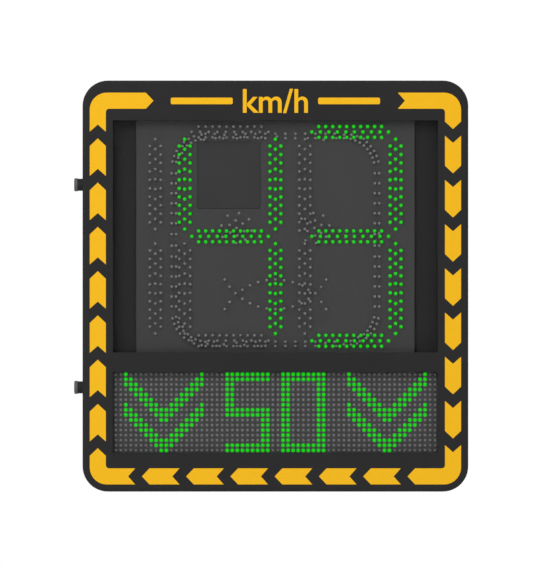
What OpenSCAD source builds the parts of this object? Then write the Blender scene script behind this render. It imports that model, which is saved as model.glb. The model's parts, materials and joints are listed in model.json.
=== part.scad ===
// Radar speed sign: a weatherproof housing on two rear rails, closed by a hinged door that carries the display.
// X runs to the right as seen from the front, Z runs up and the front faces -Y.
// The origin lies on the mounting plane, in the middle of the four fixing holes.

/* [Sign] */
// Width of the door, the widest part of the sign
sign_w = 760; // [750:5:800]
// Height of the door
sign_h = 810; // [800:5:860]
// Depth from the front face to the mounting plane
sign_depth = 160; // [156:2:200]
// Corner radius of the door, seen from the front
corner_r = 50; // [44:1:64]

/* [Door] */
// Depth of the door's side walls
door_depth = 50; // [48:1:60]
// Wall thickness of the door moulding
door_wall = 4; // [3:0.5:5]
// Radius of the door's front edge
edge_round = 8; // [6:1:12]
// Clear space between the door's side wall and the housing
side_gap = 26; // [26:0.5:30]
// How far the door's side wall reaches back past the housing's mouth
skirt_lap = 6; // [4:1:10]
// Thickness of the seal between the door and the housing
door_seal_t = 6; // [4:1:8]
// Thickness of the rib that carries the door seal
rib_t = 8; // [6:1:9]

/* [Windows] */
// Height of the upper window
upper_window_h = 457; // [440:1:460]
// Bezel height between the two windows
window_gap = 38.5; // [36:0.5:44]
// Bezel height below the lower window
bottom_border = 76; // [70:1:80]
// Thickness of the clear panes
pane_t = 4; // [3:0.5:5]
// How far a pane reaches past its window on each side
pane_lap = 8; // [6:0.5:9]
// Thickness of the gasket in front of a pane
pane_seal_t = 1.5; // [1:0.5:3]
// Clear space between a pane and the lamps
lamp_clear = 2.5; // [1.5:0.5:4]

/* [Digits] */
// Width of the digit board
digit_board_w = 549; // [530:1:600]
// Thickness of the circuit boards
board_t = 2; // [1.5:0.1:3]
// Diameter of one lamp
lamp_d = 5; // [3:0.5:5.5]
// Height of a digit lamp above its board
lamp_h = 8; // [5:0.5:9]
// Distance between the two upright strokes of a digit
digit_w = 179; // [170:1:185]
// Distance between the facing strokes of neighbouring digits
digit_gap = 58; // [50:1:64]
// Distance from the middle stroke of a digit to its top and bottom strokes
digit_half_h = 206; // [196:1:208]
// Distance between the three rows of lamps in a stroke
row_gap = 10.75; // [8:0.25:11.5]
// Lamps in each row of a stroke
row_lamps = 10; // [8:1:10]
// Lamp spacing in the outer rows of an upright stroke
upright_outer_pitch = 16.7; // [14:0.1:17]
// Lamp spacing in the middle row of an upright stroke
upright_mid_pitch = 19.7; // [16:0.1:20]
// Lamp spacing in the outer rows of a level stroke
level_outer_pitch = 13.75; // [11:0.25:14]
// Lamp spacing in the middle row of a level stroke
level_mid_pitch = 16.8; // [13:0.1:17]
// Number that the lit lamps show
number_lit = 43; // [0:1:99]

/* [Face icon] */
// Half width of the outer ring of lamps
ring_half_w = 204.7; // [196:0.5:208]
// Half height of the outer ring of lamps
ring_half_h = 209.4; // [200:0.5:212]
// Height of the ring's centre below the digits' centre
ring_drop = 7.1; // [0:0.5:12]
// Corner radius of the outer ring
ring_r = 70; // [60:1:80]
// Distance between the outer and inner rings
ring_gap = 8.7; // [8:0.1:12]
// Lamp spacing along the ring's straight sides
ring_pitch = 19.7; // [16:0.1:22]
// Distance from the icon's centre line to an eye
eye_x = 76.8; // [70:1:84]
// Height of the eyes above the ring's centre
eye_rise = 23.5; // [16:1:26]
// Radius of the outer circle of lamps in an eye
eye_r = 30; // [26:1:32]
// Half width of the mouth
mouth_half_w = 100; // [80:1:110]
// How deep the mouth curves
mouth_sag = 58.4; // [50:1:66]
// Depth of the mouth's middle below the ring's centre
mouth_drop = 107.3; // [100:1:116]

/* [Text matrix] */
// Lamp spacing of the two matrix modules
matrix_pitch = 10; // [10:0.05:10.2]
// Columns of lamps in one module
module_cols = 32; // [32]
// Rows of lamps in one module
module_rows = 16; // [16]
// Depth of a matrix module
module_depth = 14; // [12:0.5:14.5]
// Wall thickness of a module's moulding
module_wall = 3; // [2:0.5:4]
// How far the matrix lamps stand out of the module
matrix_lamp_h = 1.5; // [1:0.5:2]
// Number shown between the arrows
matrix_number = 50; // [10:10:90]

/* [Carrier] */
// Length of the pillars between the digit board and the carrier
standoff_l = 5; // [4:0.5:8]
// Thickness of the carrier sheet
carrier_t = 1.5; // [1:0.5:2.5]
// Depth of the folded lips along the carrier's top and bottom
carrier_lip = 10; // [6:1:11]
// Gap between the carrier and the door's seal rib
carrier_clear = 2; // [1.5:0.5:3]

/* [Radar] */
// Width of the opening in the digit board
radar_w = 125; // [110:1:128]
// Height of the opening in the digit board
radar_h = 134; // [120:1:136]
// Distance of the opening's centre left of the sign's centre
radar_x = 91.8; // [86:0.5:94]
// Height of the opening's centre above the digits' centre
radar_rise = 120.7; // [116:0.5:122]
// Depth of the sensor behind its flange
sensor_depth = 26.5; // [20:0.5:30]

/* [Housing] */
// Wall thickness of the housing
housing_wall = 3; // [2:0.5:4]
// Radius of the housing's rear edge
housing_edge = 12; // [8:1:18]
// Width of the housing's inward mouth flange
mouth_flange = 12; // [11:1:16]

/* [Rails] */
// Depth of the mounting rails behind the housing
rail_depth = 25; // [20:1:35]
// Height of a rail's fixing web
rail_h = 40; // [34:1:50]
// Length of a rail
rail_l = 560; // [520:10:620]
// Thickness of the rail's section
rail_t = 3; // [2.5:0.5:4]
// Width of each foot of a rail
rail_foot = 18; // [16:1:24]
// Distance between fixing holes along a rail
fixing_x = 300; // [240:10:400]
// Distance between the two rails
fixing_z = 400; // [300:10:440]
// Diameter of a fixing hole
fixing_d = 9; // [7:0.5:11]
// Distance between the rail bolts along a foot
rail_bolt_x = 480; // [440:10:500]

/* [Hinges] */
// Distance between the two hinges
hinge_spacing = 460; // [420:10:520]
// Length of a hinge
hinge_l = 80; // [60:5:100]
// Diameter of a hinge knuckle
knuckle_d = 12; // [10:0.5:13]
// Diameter of a hinge pin
hinge_pin_d = 6; // [5:0.5:7]
// Thickness of a hinge leaf
leaf_t = 3; // [2.5:0.5:3.5]
// Width of a hinge leaf
leaf_w = 38; // [34:1:38]

/* [Locks] */
// Distance between the two locks
lock_spacing = 400; // [360:10:440]
// Diameter of a lock's head
lock_head_d = 26; // [24:0.5:28]
// Thickness of a lock's head
lock_head_t = 7; // [6:0.5:8]
// Diameter of the collar under the head
lock_collar_d = 24; // [22:0.5:24]
// Length of the collar
lock_collar_t = 10; // [8:0.5:12]
// Diameter of the lock's threaded barrel
lock_barrel_d = 18; // [16:0.5:19]
// Diameter of the turning plug
plug_d = 12; // [10:0.5:12.5]
// Reach of the cam from the lock's axis
cam_reach = 20; // [18:0.5:21]
// Width of the cam
cam_w = 12; // [11:0.5:13]
// Thickness of the cam and of the keeper's tongue
cam_t = 3; // [2.5:0.5:3.5]

/* [Equipment] */
// Width of the battery
battery_w = 181; // [160:1:200]
// Height of the battery
battery_h = 167; // [150:1:180]
// Depth of the battery
battery_depth = 77; // [60:1:77]
// Width of the controller case
controller_w = 220; // [180:5:240]
// Height of the controller case
controller_h = 150; // [120:5:160]
// Depth of the controller case
controller_depth = 46; // [36:1:50]
// Width of the power module
power_w = 110; // [90:1:120]
// Height of the power module
power_h = 130; // [100:1:140]
// Depth of the power module with its fins
power_depth = 40; // [32:1:44]

/* [Film] */
// Width of the reflective arrow band
film_w = 33; // [28:0.5:34]
// Distance from the sign's outline to the band
film_inset = 14; // [12:0.5:15]
// Length of one arrow
arrow_l = 74; // [66:1:80]
// Length of an arrow's pointed head
arrow_tip = 15; // [10:1:18]
// Depth of the notch in an arrow's tail
arrow_notch = 14; // [10:1:16]
// Gap between one arrow's tip and the next arrow's tail
arrow_gap = 13; // [9:0.5:16]
// Thickness of the film
film_t = 0.4; // [0.2:0.1:0.8]

/* [Hidden] */

fine = 48;
coarse = 24;
sides = [-1, 1];
half_w = sign_w / 2;
half_h = sign_h / 2;

// Depth levels, from the front face to the back
front_y = -sign_depth;
bezel_back_y = front_y + door_wall;
pane_front_y = bezel_back_y + pane_seal_t;
pane_back_y = pane_front_y + pane_t;
lamp_front_y = pane_back_y + lamp_clear;
board_front_y = lamp_front_y + lamp_h;
board_back_y = board_front_y + board_t;
carrier_front_y = board_back_y + standoff_l;
carrier_back_y = carrier_front_y + carrier_t;
door_back_y = front_y + door_depth;
mouth_y = door_back_y - skirt_lap;
rib_back_y = mouth_y - door_seal_t;
housing_back_y = -rail_depth;
floor_y = housing_back_y - housing_wall;

// The housing's outline follows the door's at the side gap
housing_w = sign_w - 2 * (door_wall + side_gap);
housing_h = sign_h - 2 * (door_wall + side_gap);
housing_r = corner_r - door_wall - side_gap;
rib_inset = 2;
rib_w = housing_w - 2 * rib_inset;
rib_h = housing_h - 2 * rib_inset;
rib_in_x = rib_w / 2 - rib_t;
rib_in_z = rib_h / 2 - rib_t;

// Window places, built up from the bottom of the sign
module_w = module_cols * matrix_pitch;
module_h = module_rows * matrix_pitch;
window_w = 2 * module_w;
lower_window_z = -half_h + bottom_border + module_h / 2;
upper_window_z = lower_window_z + module_h / 2 + window_gap + upper_window_h / 2;
pane_w = window_w + 2 * pane_lap;
upper_pane_h = upper_window_h + 2 * pane_lap;
lower_pane_h = module_h + 2 * pane_lap;
mid_bar_z = lower_window_z + module_h / 2 + window_gap / 2;

// Front-view outline drawn between two depths
module slab(y_front, y_back) {
    translate([0, y_back, 0]) rotate([90, 0, 0]) linear_extrude(y_back - y_front) children();
}

// Section drawn in Y and Z, run along X
module run_x(x0, x1) {
    translate([x0, 0, 0]) rotate([90, 0, 90]) linear_extrude(x1 - x0) children();
}

module rod_x(x0, x1, d) {
    translate([x0, 0, 0]) rotate([0, 90, 0]) cylinder(h = x1 - x0, d = d, $fn = fine);
}

module rod_y(y0, y1, d) {
    translate([0, y1, 0]) rotate([90, 0, 0]) cylinder(h = y1 - y0, d = d, $fn = coarse);
}

module block(x, y, z) {
    translate([x[0], y[0], z[0]]) cube([x[1] - x[0], y[1] - y[0], z[1] - z[0]]);
}

module at(x, z) {
    translate([x, 0, z]) children();
}

// Rectangle with true round corners
module rounded(w, h, r) {
    square([w - 2 * r, h], center = true);
    square([w, h - 2 * r], center = true);
    for (sx = sides, sz = sides)
        translate([sx * (w / 2 - r), sz * (h / 2 - r)]) circle(r = r, $fn = fine);
}

module rounded_ring(w, h, r, t) {
    difference() {
        rounded(w, h, r);
        rounded(w - 2 * t, h - 2 * t, max(r - t, 1));
    }
}

// Open tray with a rounded edge round its closed face, which lies at the height given by depth
module tray(w, h, r, edge, wall, depth) {
    module edge_section() {
        square_top = depth - edge;
        translate([edge - wall, 0]) square([wall, square_top]);
        intersection() {
            translate([0, square_top]) square([edge, edge]);
            translate([0, square_top]) difference() {
                circle(r = edge, $fn = fine);
                circle(r = edge - wall, $fn = fine);
            }
        }
    }
    translate([0, 0, depth - wall]) linear_extrude(wall) rounded(w - 2 * edge, h - 2 * edge, r - edge);
    for (turn = [0, 90, 180, 270]) {
        long = turn % 180 == 0 ? h - 2 * r : w - 2 * r;
        reach = turn % 180 == 0 ? w / 2 : h / 2;
        rotate([0, 0, turn]) translate([reach - edge, long / 2, 0]) rotate([90, 0, 0])
            linear_extrude(long) edge_section();
    }
    corners = [[w / 2 - r, h / 2 - r, 0], [r - w / 2, h / 2 - r, 90], [r - w / 2, r - h / 2, 180],
        [w / 2 - r, r - h / 2, 270]];
    for (c = corners)
        translate([c[0], c[1], 0]) rotate([0, 0, c[2]]) rotate_extrude(angle = 90, $fn = fine)
            translate([r - edge, 0]) edge_section();
}

// Housing, rails and what fastens them

boss_clear = 0.3;
screw_clear = 0.4;
pilot_clear = 0.1;
screw_end = 2;
rail_bolt_d = 6;
rail_bolt_hole_d = rail_bolt_d + 2 * boss_clear;
rail_bolt_head_d = 11.5;
rail_bolt_head_t = 4;
rail_foot_z = rail_h / 2 + rail_foot / 2;
rail_bolt_places = [for (rail = sides, foot = sides, x = sides)
    [x * rail_bolt_x / 2, rail * fixing_z / 2 + foot * rail_foot_z]];
gland_x = 150;
vent_x = -150;
gland_y = (floor_y + mouth_y) / 2;
gland_d = 20;
vent_d = 12;
floor_z = -housing_h / 2 + housing_wall;

module rear_housing() {
    color("#2d2d2d") difference() {
        union() {
            translate([0, mouth_y, 0]) rotate([-90, 0, 0])
                tray(housing_w, housing_h, housing_r, housing_edge, housing_wall, housing_back_y - mouth_y);
            slab(mouth_y, mouth_y + housing_wall)
                rounded_ring(housing_w - housing_wall, housing_h - housing_wall, housing_r - housing_wall / 2,
                    mouth_flange - housing_wall / 2);
        }
        for (p = rail_bolt_places)
            at(p[0], p[1]) rod_y(floor_y - 1, housing_back_y + 1, rail_bolt_hole_d);
        for (p = housing_leaf_screws)
            translate([0, p[0], p[1]]) rod_x(housing_w / 2 - 2 * housing_wall, housing_w / 2 + 1, leaf_screw_hole_d);
        for (p = keeper_screw_places)
            translate([0, p[0], p[1]]) rod_x(-housing_w / 2 - 1, -housing_w / 2 + 2 * housing_wall, keeper_screw_hole_d);
        translate([gland_x, gland_y, floor_z - 2 * housing_wall]) cylinder(d = gland_d + 2 * boss_clear, h = 3 * housing_wall, $fn = fine);
        translate([vent_x, gland_y, floor_z - 2 * housing_wall]) cylinder(d = vent_d + 2 * boss_clear, h = 3 * housing_wall, $fn = fine);
    }
}

// Hat section: a fixing web behind, two legs and two feet on the housing
module rail(z) {
    color("#9a9c9e") difference() {
        translate([0, 0, z]) run_x(-rail_l / 2, rail_l / 2) {
            translate([-rail_t, -rail_h / 2]) square([rail_t, rail_h]);
            for (s = sides) {
                translate([-rail_depth, s * (rail_h - rail_t) / 2 - rail_t / 2]) square([rail_depth, rail_t]);
                translate([-rail_depth, s > 0 ? rail_h / 2 - rail_t : -rail_h / 2 - rail_foot])
                    square([rail_t, rail_foot + rail_t]);
            }
        }
        for (x = sides) at(x * fixing_x / 2, z) rod_y(-2 * rail_t, rail_t, fixing_d);
        for (p = rail_bolt_places)
            at(p[0], p[1]) rod_y(housing_back_y - 1, housing_back_y + rail_t + 1, rail_bolt_hole_d);
    }
}

module upper_rail() {
    rail(fixing_z / 2);
}

module lower_rail() {
    rail(-fixing_z / 2);
}

rail_nut_t = 5;

module rail_bolts() {
    color("#b8bbbd") for (p = rail_bolt_places) at(p[0], p[1]) {
        rod_y(floor_y - rail_nut_t - 1, housing_back_y + rail_t, rail_bolt_d);
        translate([0, housing_back_y + rail_t + rail_bolt_head_t, 0]) rotate([90, 0, 0])
            cylinder(d = rail_bolt_head_d, h = rail_bolt_head_t, $fn = 6);
    }
}

module rail_nuts() {
    color("#b8bbbd") for (p = rail_bolt_places) at(p[0], p[1]) difference() {
        translate([0, floor_y, 0]) rotate([90, 0, 0]) cylinder(d = rail_bolt_head_d, h = rail_nut_t, $fn = 6);
        rod_y(floor_y - rail_nut_t - 1, floor_y + 1, rail_bolt_d + pilot_clear);
    }
}

gland_flange_t = 5;
gland_dome_t = 12;
gland_nut_t = 5;

module cable_gland() {
    color("#1f1f1f") translate([gland_x, gland_y, floor_z - housing_wall]) {
        translate([0, 0, -gland_flange_t]) cylinder(d = gland_d + 11, h = gland_flange_t, $fn = 6);
        translate([0, 0, -gland_flange_t - gland_dome_t]) cylinder(d = gland_d + 4, h = gland_dome_t, $fn = fine);
        cylinder(d = gland_d, h = housing_wall + gland_nut_t + 2, $fn = fine);
    }
}

module gland_nut() {
    color("#1f1f1f") translate([gland_x, gland_y, floor_z]) difference() {
        cylinder(d = gland_d + 11, h = gland_nut_t, $fn = 6);
        translate([0, 0, -1]) cylinder(d = gland_d + pilot_clear, h = gland_nut_t + 2, $fn = fine);
    }
}

module vent_plug() {
    color("#1f1f1f") translate([vent_x, gland_y, floor_z - housing_wall]) {
        translate([0, 0, -6]) cylinder(d = vent_d + 10, h = 6, $fn = fine);
        cylinder(d = vent_d, h = housing_wall + 4, $fn = fine);
    }
}

// Hinges: the axis runs up behind the door's right edge

hinge_x = half_w - door_wall - side_gap / 2;
hinge_y = door_back_y;
hinge_play = 0.05;
hinge_lift = 0.3;
pin_head_t = 2;
leaf_root = knuckle_d / 2 - leaf_t / 2 - 1;
leaf_screw_d = 4;
leaf_screw_hole_d = leaf_screw_d + screw_clear;
leaf_screw_head_d = 8;
leaf_screw_head_t = 2.5;
leaf_screw_y = 23.5;
leaf_screw_z = hinge_l / 2 - 16;
housing_leaf_y = hinge_y + leaf_root - leaf_t / 2;
door_leaf_y = hinge_y - leaf_root + leaf_t / 2;
housing_leaf_screws = [for (h = sides, s = sides)
    [housing_leaf_y + leaf_screw_y, h * hinge_spacing / 2 + s * leaf_screw_z]];
door_leaf_screws = [for (h = sides, s = sides)
    [door_leaf_y - leaf_screw_y, h * hinge_spacing / 2 + s * leaf_screw_z]];

module housing_leaf(z) {
    color("#8f9193") translate([0, 0, z]) difference() {
        union() {
            block([housing_w / 2, housing_w / 2 + leaf_t], [housing_leaf_y, housing_leaf_y + leaf_w],
                [-hinge_l / 2, hinge_l / 2]);
            block([housing_w / 2, hinge_x], [housing_leaf_y, housing_leaf_y + leaf_t], [-hinge_l / 2, -hinge_lift / 2]);
            translate([hinge_x, hinge_y, -hinge_l / 2])
                cylinder(d = knuckle_d, h = hinge_l / 2 - hinge_lift / 2, $fn = fine);
        }
        translate([hinge_x, hinge_y, -hinge_l / 2 - 1])
            cylinder(d = hinge_pin_d + 2 * hinge_play, h = hinge_l, $fn = fine);
        for (s = sides) translate([0, housing_leaf_y + leaf_screw_y, s * leaf_screw_z])
            rod_x(housing_w / 2 - 1, housing_w / 2 + leaf_t + 1, leaf_screw_hole_d);
    }
}

module upper_hinge_leaf() {
    housing_leaf(hinge_spacing / 2);
}

module lower_hinge_leaf() {
    housing_leaf(-hinge_spacing / 2);
}

module door_hinge_leaves() {
    inner_x = half_w - door_wall;
    color("#8f9193") for (h = sides) translate([0, 0, h * hinge_spacing / 2]) difference() {
        union() {
            block([inner_x - leaf_t, inner_x], [door_leaf_y - leaf_w, door_leaf_y], [-hinge_l / 2, hinge_l / 2]);
            block([hinge_x, inner_x], [door_leaf_y - leaf_t, door_leaf_y], [hinge_lift / 2, hinge_l / 2]);
            translate([hinge_x, hinge_y, hinge_lift / 2])
                cylinder(d = knuckle_d, h = hinge_l / 2 - hinge_lift / 2, $fn = fine);
        }
        translate([hinge_x, hinge_y, -1]) cylinder(d = hinge_pin_d + 2 * hinge_play, h = hinge_l, $fn = fine);
        for (s = sides) translate([0, door_leaf_y - leaf_screw_y, s * leaf_screw_z])
            rod_x(inner_x - leaf_t - 1, inner_x + 1, leaf_screw_hole_d);
    }
}

module hinge_pins() {
    color("#c4c6c8") for (h = sides) translate([hinge_x, hinge_y, h * hinge_spacing / 2]) {
        translate([0, 0, -hinge_l / 2]) cylinder(d = hinge_pin_d, h = hinge_l + hinge_lift, $fn = fine);
        translate([0, 0, hinge_l / 2 + hinge_lift]) cylinder(d = hinge_pin_d + 4, h = pin_head_t, $fn = fine);
    }
}

module leaf_screw_x(face_x, turn, reach) {
    translate([face_x, 0, 0]) rotate([0, 0, turn]) {
        rod_x(0, leaf_screw_head_t, leaf_screw_head_d);
        rod_x(-reach, 0, leaf_screw_d);
    }
}

module housing_hinge_screws() {
    color("#c4c6c8") for (p = housing_leaf_screws) translate([0, p[0], p[1]])
        leaf_screw_x(housing_w / 2 + leaf_t, 0, leaf_t + housing_wall + screw_end);
}

module door_hinge_screws() {
    color("#c4c6c8") for (p = door_leaf_screws) translate([0, p[0], p[1]])
        leaf_screw_x(half_w - door_wall - leaf_t, 180, leaf_t + door_wall - 1.5);
}

// Locks: two quarter-turn cam locks in the door's left wall, with keepers on the housing

lock_y = (front_y + door_back_y) / 2 + 2;
lock_nut_t = 6;
lock_nut_d = lock_collar_d;
cam_gap = 2;
barrel_in_x = -half_w + door_wall + lock_nut_t + cam_gap;
cam_x = barrel_in_x + cam_gap;
plug_play = 0.05;
plug_head_d = 16;
plug_head_t = 1.7;
plug_head_play = 0.3;
plug_square = 7;
keeper_t = 4;
keeper_clear = 0.3;
keeper_side = 1.5;
keeper_z = lock_barrel_d / 2 + keeper_side;
keeper_past = 2;
keeper_h = cam_reach - keeper_z + keeper_past;
keeper_out = 0.5;
keeper_foot_h = 36;
keeper_foot_y = mouth_y + 4;
keeper_screw_z = 11;
keeper_foot_w = 20;
keeper_screw_d = 4;
keeper_screw_hole_d = keeper_screw_d + screw_clear;
keeper_screw_places = [for (h = sides, s = sides)
    [keeper_foot_y + keeper_foot_w / 2, h * lock_spacing / 2 + keeper_z + keeper_h / 2 + s * keeper_screw_z]];

module lock_bodies() {
    color("#5f5f5f") for (h = sides) translate([0, lock_y, h * lock_spacing / 2]) difference() {
        union() {
            rod_x(-half_w - lock_collar_t - lock_head_t, -half_w - lock_collar_t, lock_head_d);
            rod_x(-half_w - lock_collar_t, barrel_in_x, lock_barrel_d);
        }
        rod_x(-half_w - lock_collar_t - lock_head_t - 1, barrel_in_x + 1, plug_d + 2 * plug_play);
        rod_x(-half_w - lock_collar_t - lock_head_t - 1, -half_w - lock_collar_t - lock_head_t + plug_head_t + plug_head_play,
            plug_head_d + 2 * plug_head_play);
    }
}

module lock_collars() {
    color("#373737") for (h = sides) translate([0, lock_y, h * lock_spacing / 2]) difference() {
        rod_x(-half_w - lock_collar_t, -half_w, lock_collar_d);
        rod_x(-half_w - lock_collar_t - 1, -half_w + 1, lock_barrel_d + 2 * pilot_clear);
    }
}

module lock_nuts() {
    color("#8f9193") for (h = sides) translate([0, lock_y, h * lock_spacing / 2]) difference() {
        translate([-half_w + door_wall, 0, 0]) rotate([0, 90, 0]) cylinder(d = lock_nut_d, h = lock_nut_t, $fn = 6);
        rod_x(-half_w, -half_w + door_wall + lock_nut_t + 1, lock_barrel_d + 2 * pilot_clear);
    }
}

module lock_plug(h) {
    face_x = -half_w - lock_collar_t - lock_head_t;
    color("#bfc1c3") translate([0, lock_y, h * lock_spacing / 2]) difference() {
        union() {
            rod_x(face_x, face_x + plug_head_t, plug_head_d);
            rod_x(face_x, cam_x, plug_d);
            translate([cam_x, -plug_square / 2, -plug_square / 2]) cube([cam_t, plug_square, plug_square]);
        }
        translate([face_x - 1, -4, -1]) cube([6, 8, 2]);
        rod_x(cam_x - 6, cam_x + cam_t + 1, 4.1);
    }
}

module cam(h) {
    color("#a8abad") translate([0, lock_y, h * lock_spacing / 2]) difference() {
        run_x(cam_x, cam_x + cam_t) {
            circle(r = cam_w / 2 + 2, $fn = fine);
            translate([0, -cam_w / 2]) square([cam_reach, cam_w]);
        }
        translate([cam_x - 1, -plug_square / 2, -plug_square / 2]) cube([cam_t + 2, plug_square, plug_square]);
    }
}

module cam_screw(h) {
    color("#c4c6c8") translate([0, lock_y, h * lock_spacing / 2]) {
        rod_x(cam_x - 5, cam_x + cam_t, 4);
        rod_x(cam_x + cam_t, cam_x + cam_t + 2.5, plug_square + 3);
    }
}

module upper_lock_plug() {
    lock_plug(1);
}

module upper_cam() {
    cam(1);
}

module upper_cam_screw() {
    cam_screw(1);
}

module lower_lock_plug() {
    lock_plug(-1);
}

module lower_cam() {
    cam(-1);
}

module lower_cam_screw() {
    cam_screw(-1);
}

// A tongue stands in front of the turned cam, on an arm from the housing's side
module keepers() {
    wall_x = -housing_w / 2;
    tongue_y = lock_y - cam_w / 2 - keeper_clear - cam_t;
    color("#9a9c9e") for (h = sides) translate([0, 0, h * lock_spacing / 2]) difference() {
        union() {
            block([wall_x - keeper_t, wall_x], [tongue_y, keeper_foot_y + keeper_foot_w], [keeper_z, keeper_z + keeper_h]);
            block([cam_x - keeper_out, wall_x], [tongue_y, tongue_y + cam_t], [keeper_z, keeper_z + keeper_h]);
            block([wall_x - keeper_t, wall_x], [keeper_foot_y, keeper_foot_y + keeper_foot_w],
                [keeper_z + keeper_h / 2 - keeper_foot_h / 2, keeper_z + keeper_h / 2 + keeper_foot_h / 2]);
        }
        for (s = sides) translate([0, keeper_foot_y + keeper_foot_w / 2, keeper_z + keeper_h / 2 + s * keeper_screw_z])
            rod_x(wall_x - keeper_t - 1, wall_x + 1, keeper_screw_hole_d);
    }
}

module keeper_screws() {
    color("#c4c6c8") for (p = keeper_screw_places) translate([-housing_w / 2 - keeper_t, p[0], p[1]]) {
        rod_x(-leaf_screw_head_t, 0, leaf_screw_head_d);
        rod_x(0, keeper_t + housing_wall + screw_end, keeper_screw_d);
    }
}

// Door moulding

clip_t = 2;
clip_w = 20;
clip_over = 5;
clip_boss = 10;
clip_gap = 2;
clip_x = pane_w / 2 + clip_gap + clip_boss / 2;
upper_pane_top = upper_window_z + upper_pane_h / 2;
lower_pane_bottom = lower_window_z - lower_pane_h / 2;
level_clip_step = 160;
level_clip_x = [for (i = [-1.5:1.5]) i * level_clip_step];
side_clip_step = 150;
// Each clip: its boss's centre, and which way its plate reaches over a pane (x, then z up and z down)
side_clips = [for (s = sides, z = [upper_window_z - side_clip_step, upper_window_z, upper_window_z + side_clip_step, lower_window_z])
    [s * clip_x, z, -s, 0, 0]];
top_clips = [for (x = level_clip_x) [x, upper_pane_top + clip_gap + clip_boss / 2, 0, 0, 1]];
bottom_clips = [for (x = level_clip_x) [x, lower_pane_bottom - clip_gap - clip_boss / 2, 0, 1, 0]];
mid_clips = [for (x = level_clip_x) [x, mid_bar_z, 0, 1, 1]];
clips = concat(side_clips, top_clips, bottom_clips, mid_clips);
mid_reach = window_gap / 2 - pane_lap + clip_over;
clip_screw_d = 3;

// Pillars that hold the carrier, in three rows: above, between and below the windows
pillar_d = 9;
pillar_inset = 10;
pillar_z = rib_in_z - pillar_inset;
pillars = [for (i = [-2:2], z = [-pillar_z, mid_bar_z, pillar_z]) [i * level_clip_step, z]];
carrier_screw_d = 4;
pilot_depth = 12;

module front_frame() {
    color("#303030") difference() {
        union() {
            translate([0, door_back_y, 0]) rotate([90, 0, 0])
                tray(sign_w, sign_h, corner_r, edge_round, door_wall, door_depth);
            slab(bezel_back_y - door_wall / 2, rib_back_y) rounded_ring(rib_w, rib_h, housing_r - rib_inset, rib_t);
            for (c = clips) at(c[0], c[1]) block([-clip_boss / 2, clip_boss / 2], [bezel_back_y - door_wall / 2, pane_back_y],
                [-clip_boss / 2, clip_boss / 2]);
            for (p = pillars) at(p[0], p[1]) rod_y(bezel_back_y - door_wall / 2, carrier_front_y, pillar_d);
        }
        slab(front_y - 1, bezel_back_y + 1) {
            translate([0, upper_window_z]) square([window_w, upper_window_h], center = true);
            translate([0, lower_window_z]) square([window_w, module_h], center = true);
        }
        for (h = sides) translate([0, lock_y, h * lock_spacing / 2]) rod_x(-half_w - 1, -half_w + door_wall + 1, lock_barrel_d + screw_clear);
        for (p = door_leaf_screws) translate([0, p[0], p[1]])
            rod_x(half_w - door_wall - 1, half_w - 1, leaf_screw_hole_d);
        for (c = clips) at(c[0], c[1]) rod_y(bezel_back_y, pane_back_y + 1, clip_screw_d + pilot_clear);
        for (p = pillars) at(p[0], p[1]) rod_y(carrier_front_y - pilot_depth, carrier_front_y + 1, carrier_screw_d + pilot_clear);
    }
}

module pane(z, h) {
    slab(pane_front_y, pane_back_y) translate([0, z]) rounded(pane_w, h, 3);
}

module pane_seal(z, h) {
    slab(bezel_back_y, pane_front_y) translate([0, z]) rounded_ring(pane_w, h, 3, pane_lap);
}

module upper_window() {
    color([0.75, 0.8, 0.82, 0.25]) pane(upper_window_z, upper_pane_h);
}

module lower_window() {
    color([0.75, 0.8, 0.82, 0.25]) pane(lower_window_z, lower_pane_h);
}

module upper_window_seal() {
    color("#161616") pane_seal(upper_window_z, upper_pane_h);
}

module lower_window_seal() {
    color("#161616") pane_seal(lower_window_z, lower_pane_h);
}

module window_clips() {
    side_reach = clip_boss / 2 + clip_gap + clip_over;
    color("#8f9193") for (c = clips) at(c[0], c[1]) difference() {
        mid = c[3] > 0 && c[4] > 0;
        up = c[3] > 0 ? (mid ? mid_reach : side_reach) : clip_boss / 2;
        down = c[4] > 0 ? (mid ? mid_reach : side_reach) : clip_boss / 2;
        if (c[2] != 0)
            block(c[2] > 0 ? [-clip_boss / 2, side_reach] : [-side_reach, clip_boss / 2], [pane_back_y, pane_back_y + clip_t],
                [-clip_w / 2, clip_w / 2]);
        else
            block([-clip_w / 2, clip_w / 2], [pane_back_y, pane_back_y + clip_t], [-down, up]);
        rod_y(pane_back_y - 1, pane_back_y + clip_t + 1, clip_screw_d + screw_clear);
    }
}

module clip_screws() {
    color("#c4c6c8") for (c = clips) at(c[0], c[1]) {
        rod_y(bezel_back_y + 0.5, pane_back_y + clip_t, clip_screw_d);
        rod_y(pane_back_y + clip_t, pane_back_y + clip_t + 2, 6);
    }
}

module door_seal() {
    color("#161616") slab(rib_back_y, mouth_y) rounded_ring(rib_w, rib_h, housing_r - rib_inset, rib_t);
}

// Reflective arrows that run clockwise round the bezel

band_x = half_w - film_inset - film_w / 2;
band_z = half_h - film_inset - film_w / 2;
film_outer_r = 35;
// Lengths of the four corner pieces from the band's outer corner: the tail's arm, then the head's arm
top_left_arms = [87, 126];
top_right_arms = [125, 82];
bottom_right_arms = [78, 106];
bottom_left_arms = [90, 72];

// One arrow that points along +Y, its tail's corners at the origin's height
module arrow(l) {
    polygon([[-film_w / 2, 0], [0, arrow_notch], [film_w / 2, 0], [film_w / 2, l - arrow_tip], [0, l],
        [-film_w / 2, l - arrow_tip]]);
}

// Bent arrow whose outer corner is at the origin: the tail's arm runs along -Y and the head's arm along +X
module corner_arrow(arms) {
    polygon([[0, -arms[0]], [0, 0], [arms[1] - arrow_tip, 0], [arms[1], -film_w / 2], [arms[1] - arrow_tip, -film_w],
        [film_w, -film_w], [film_w, -arms[0]], [film_w / 2, arrow_notch - arms[0]]]);
}

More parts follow.
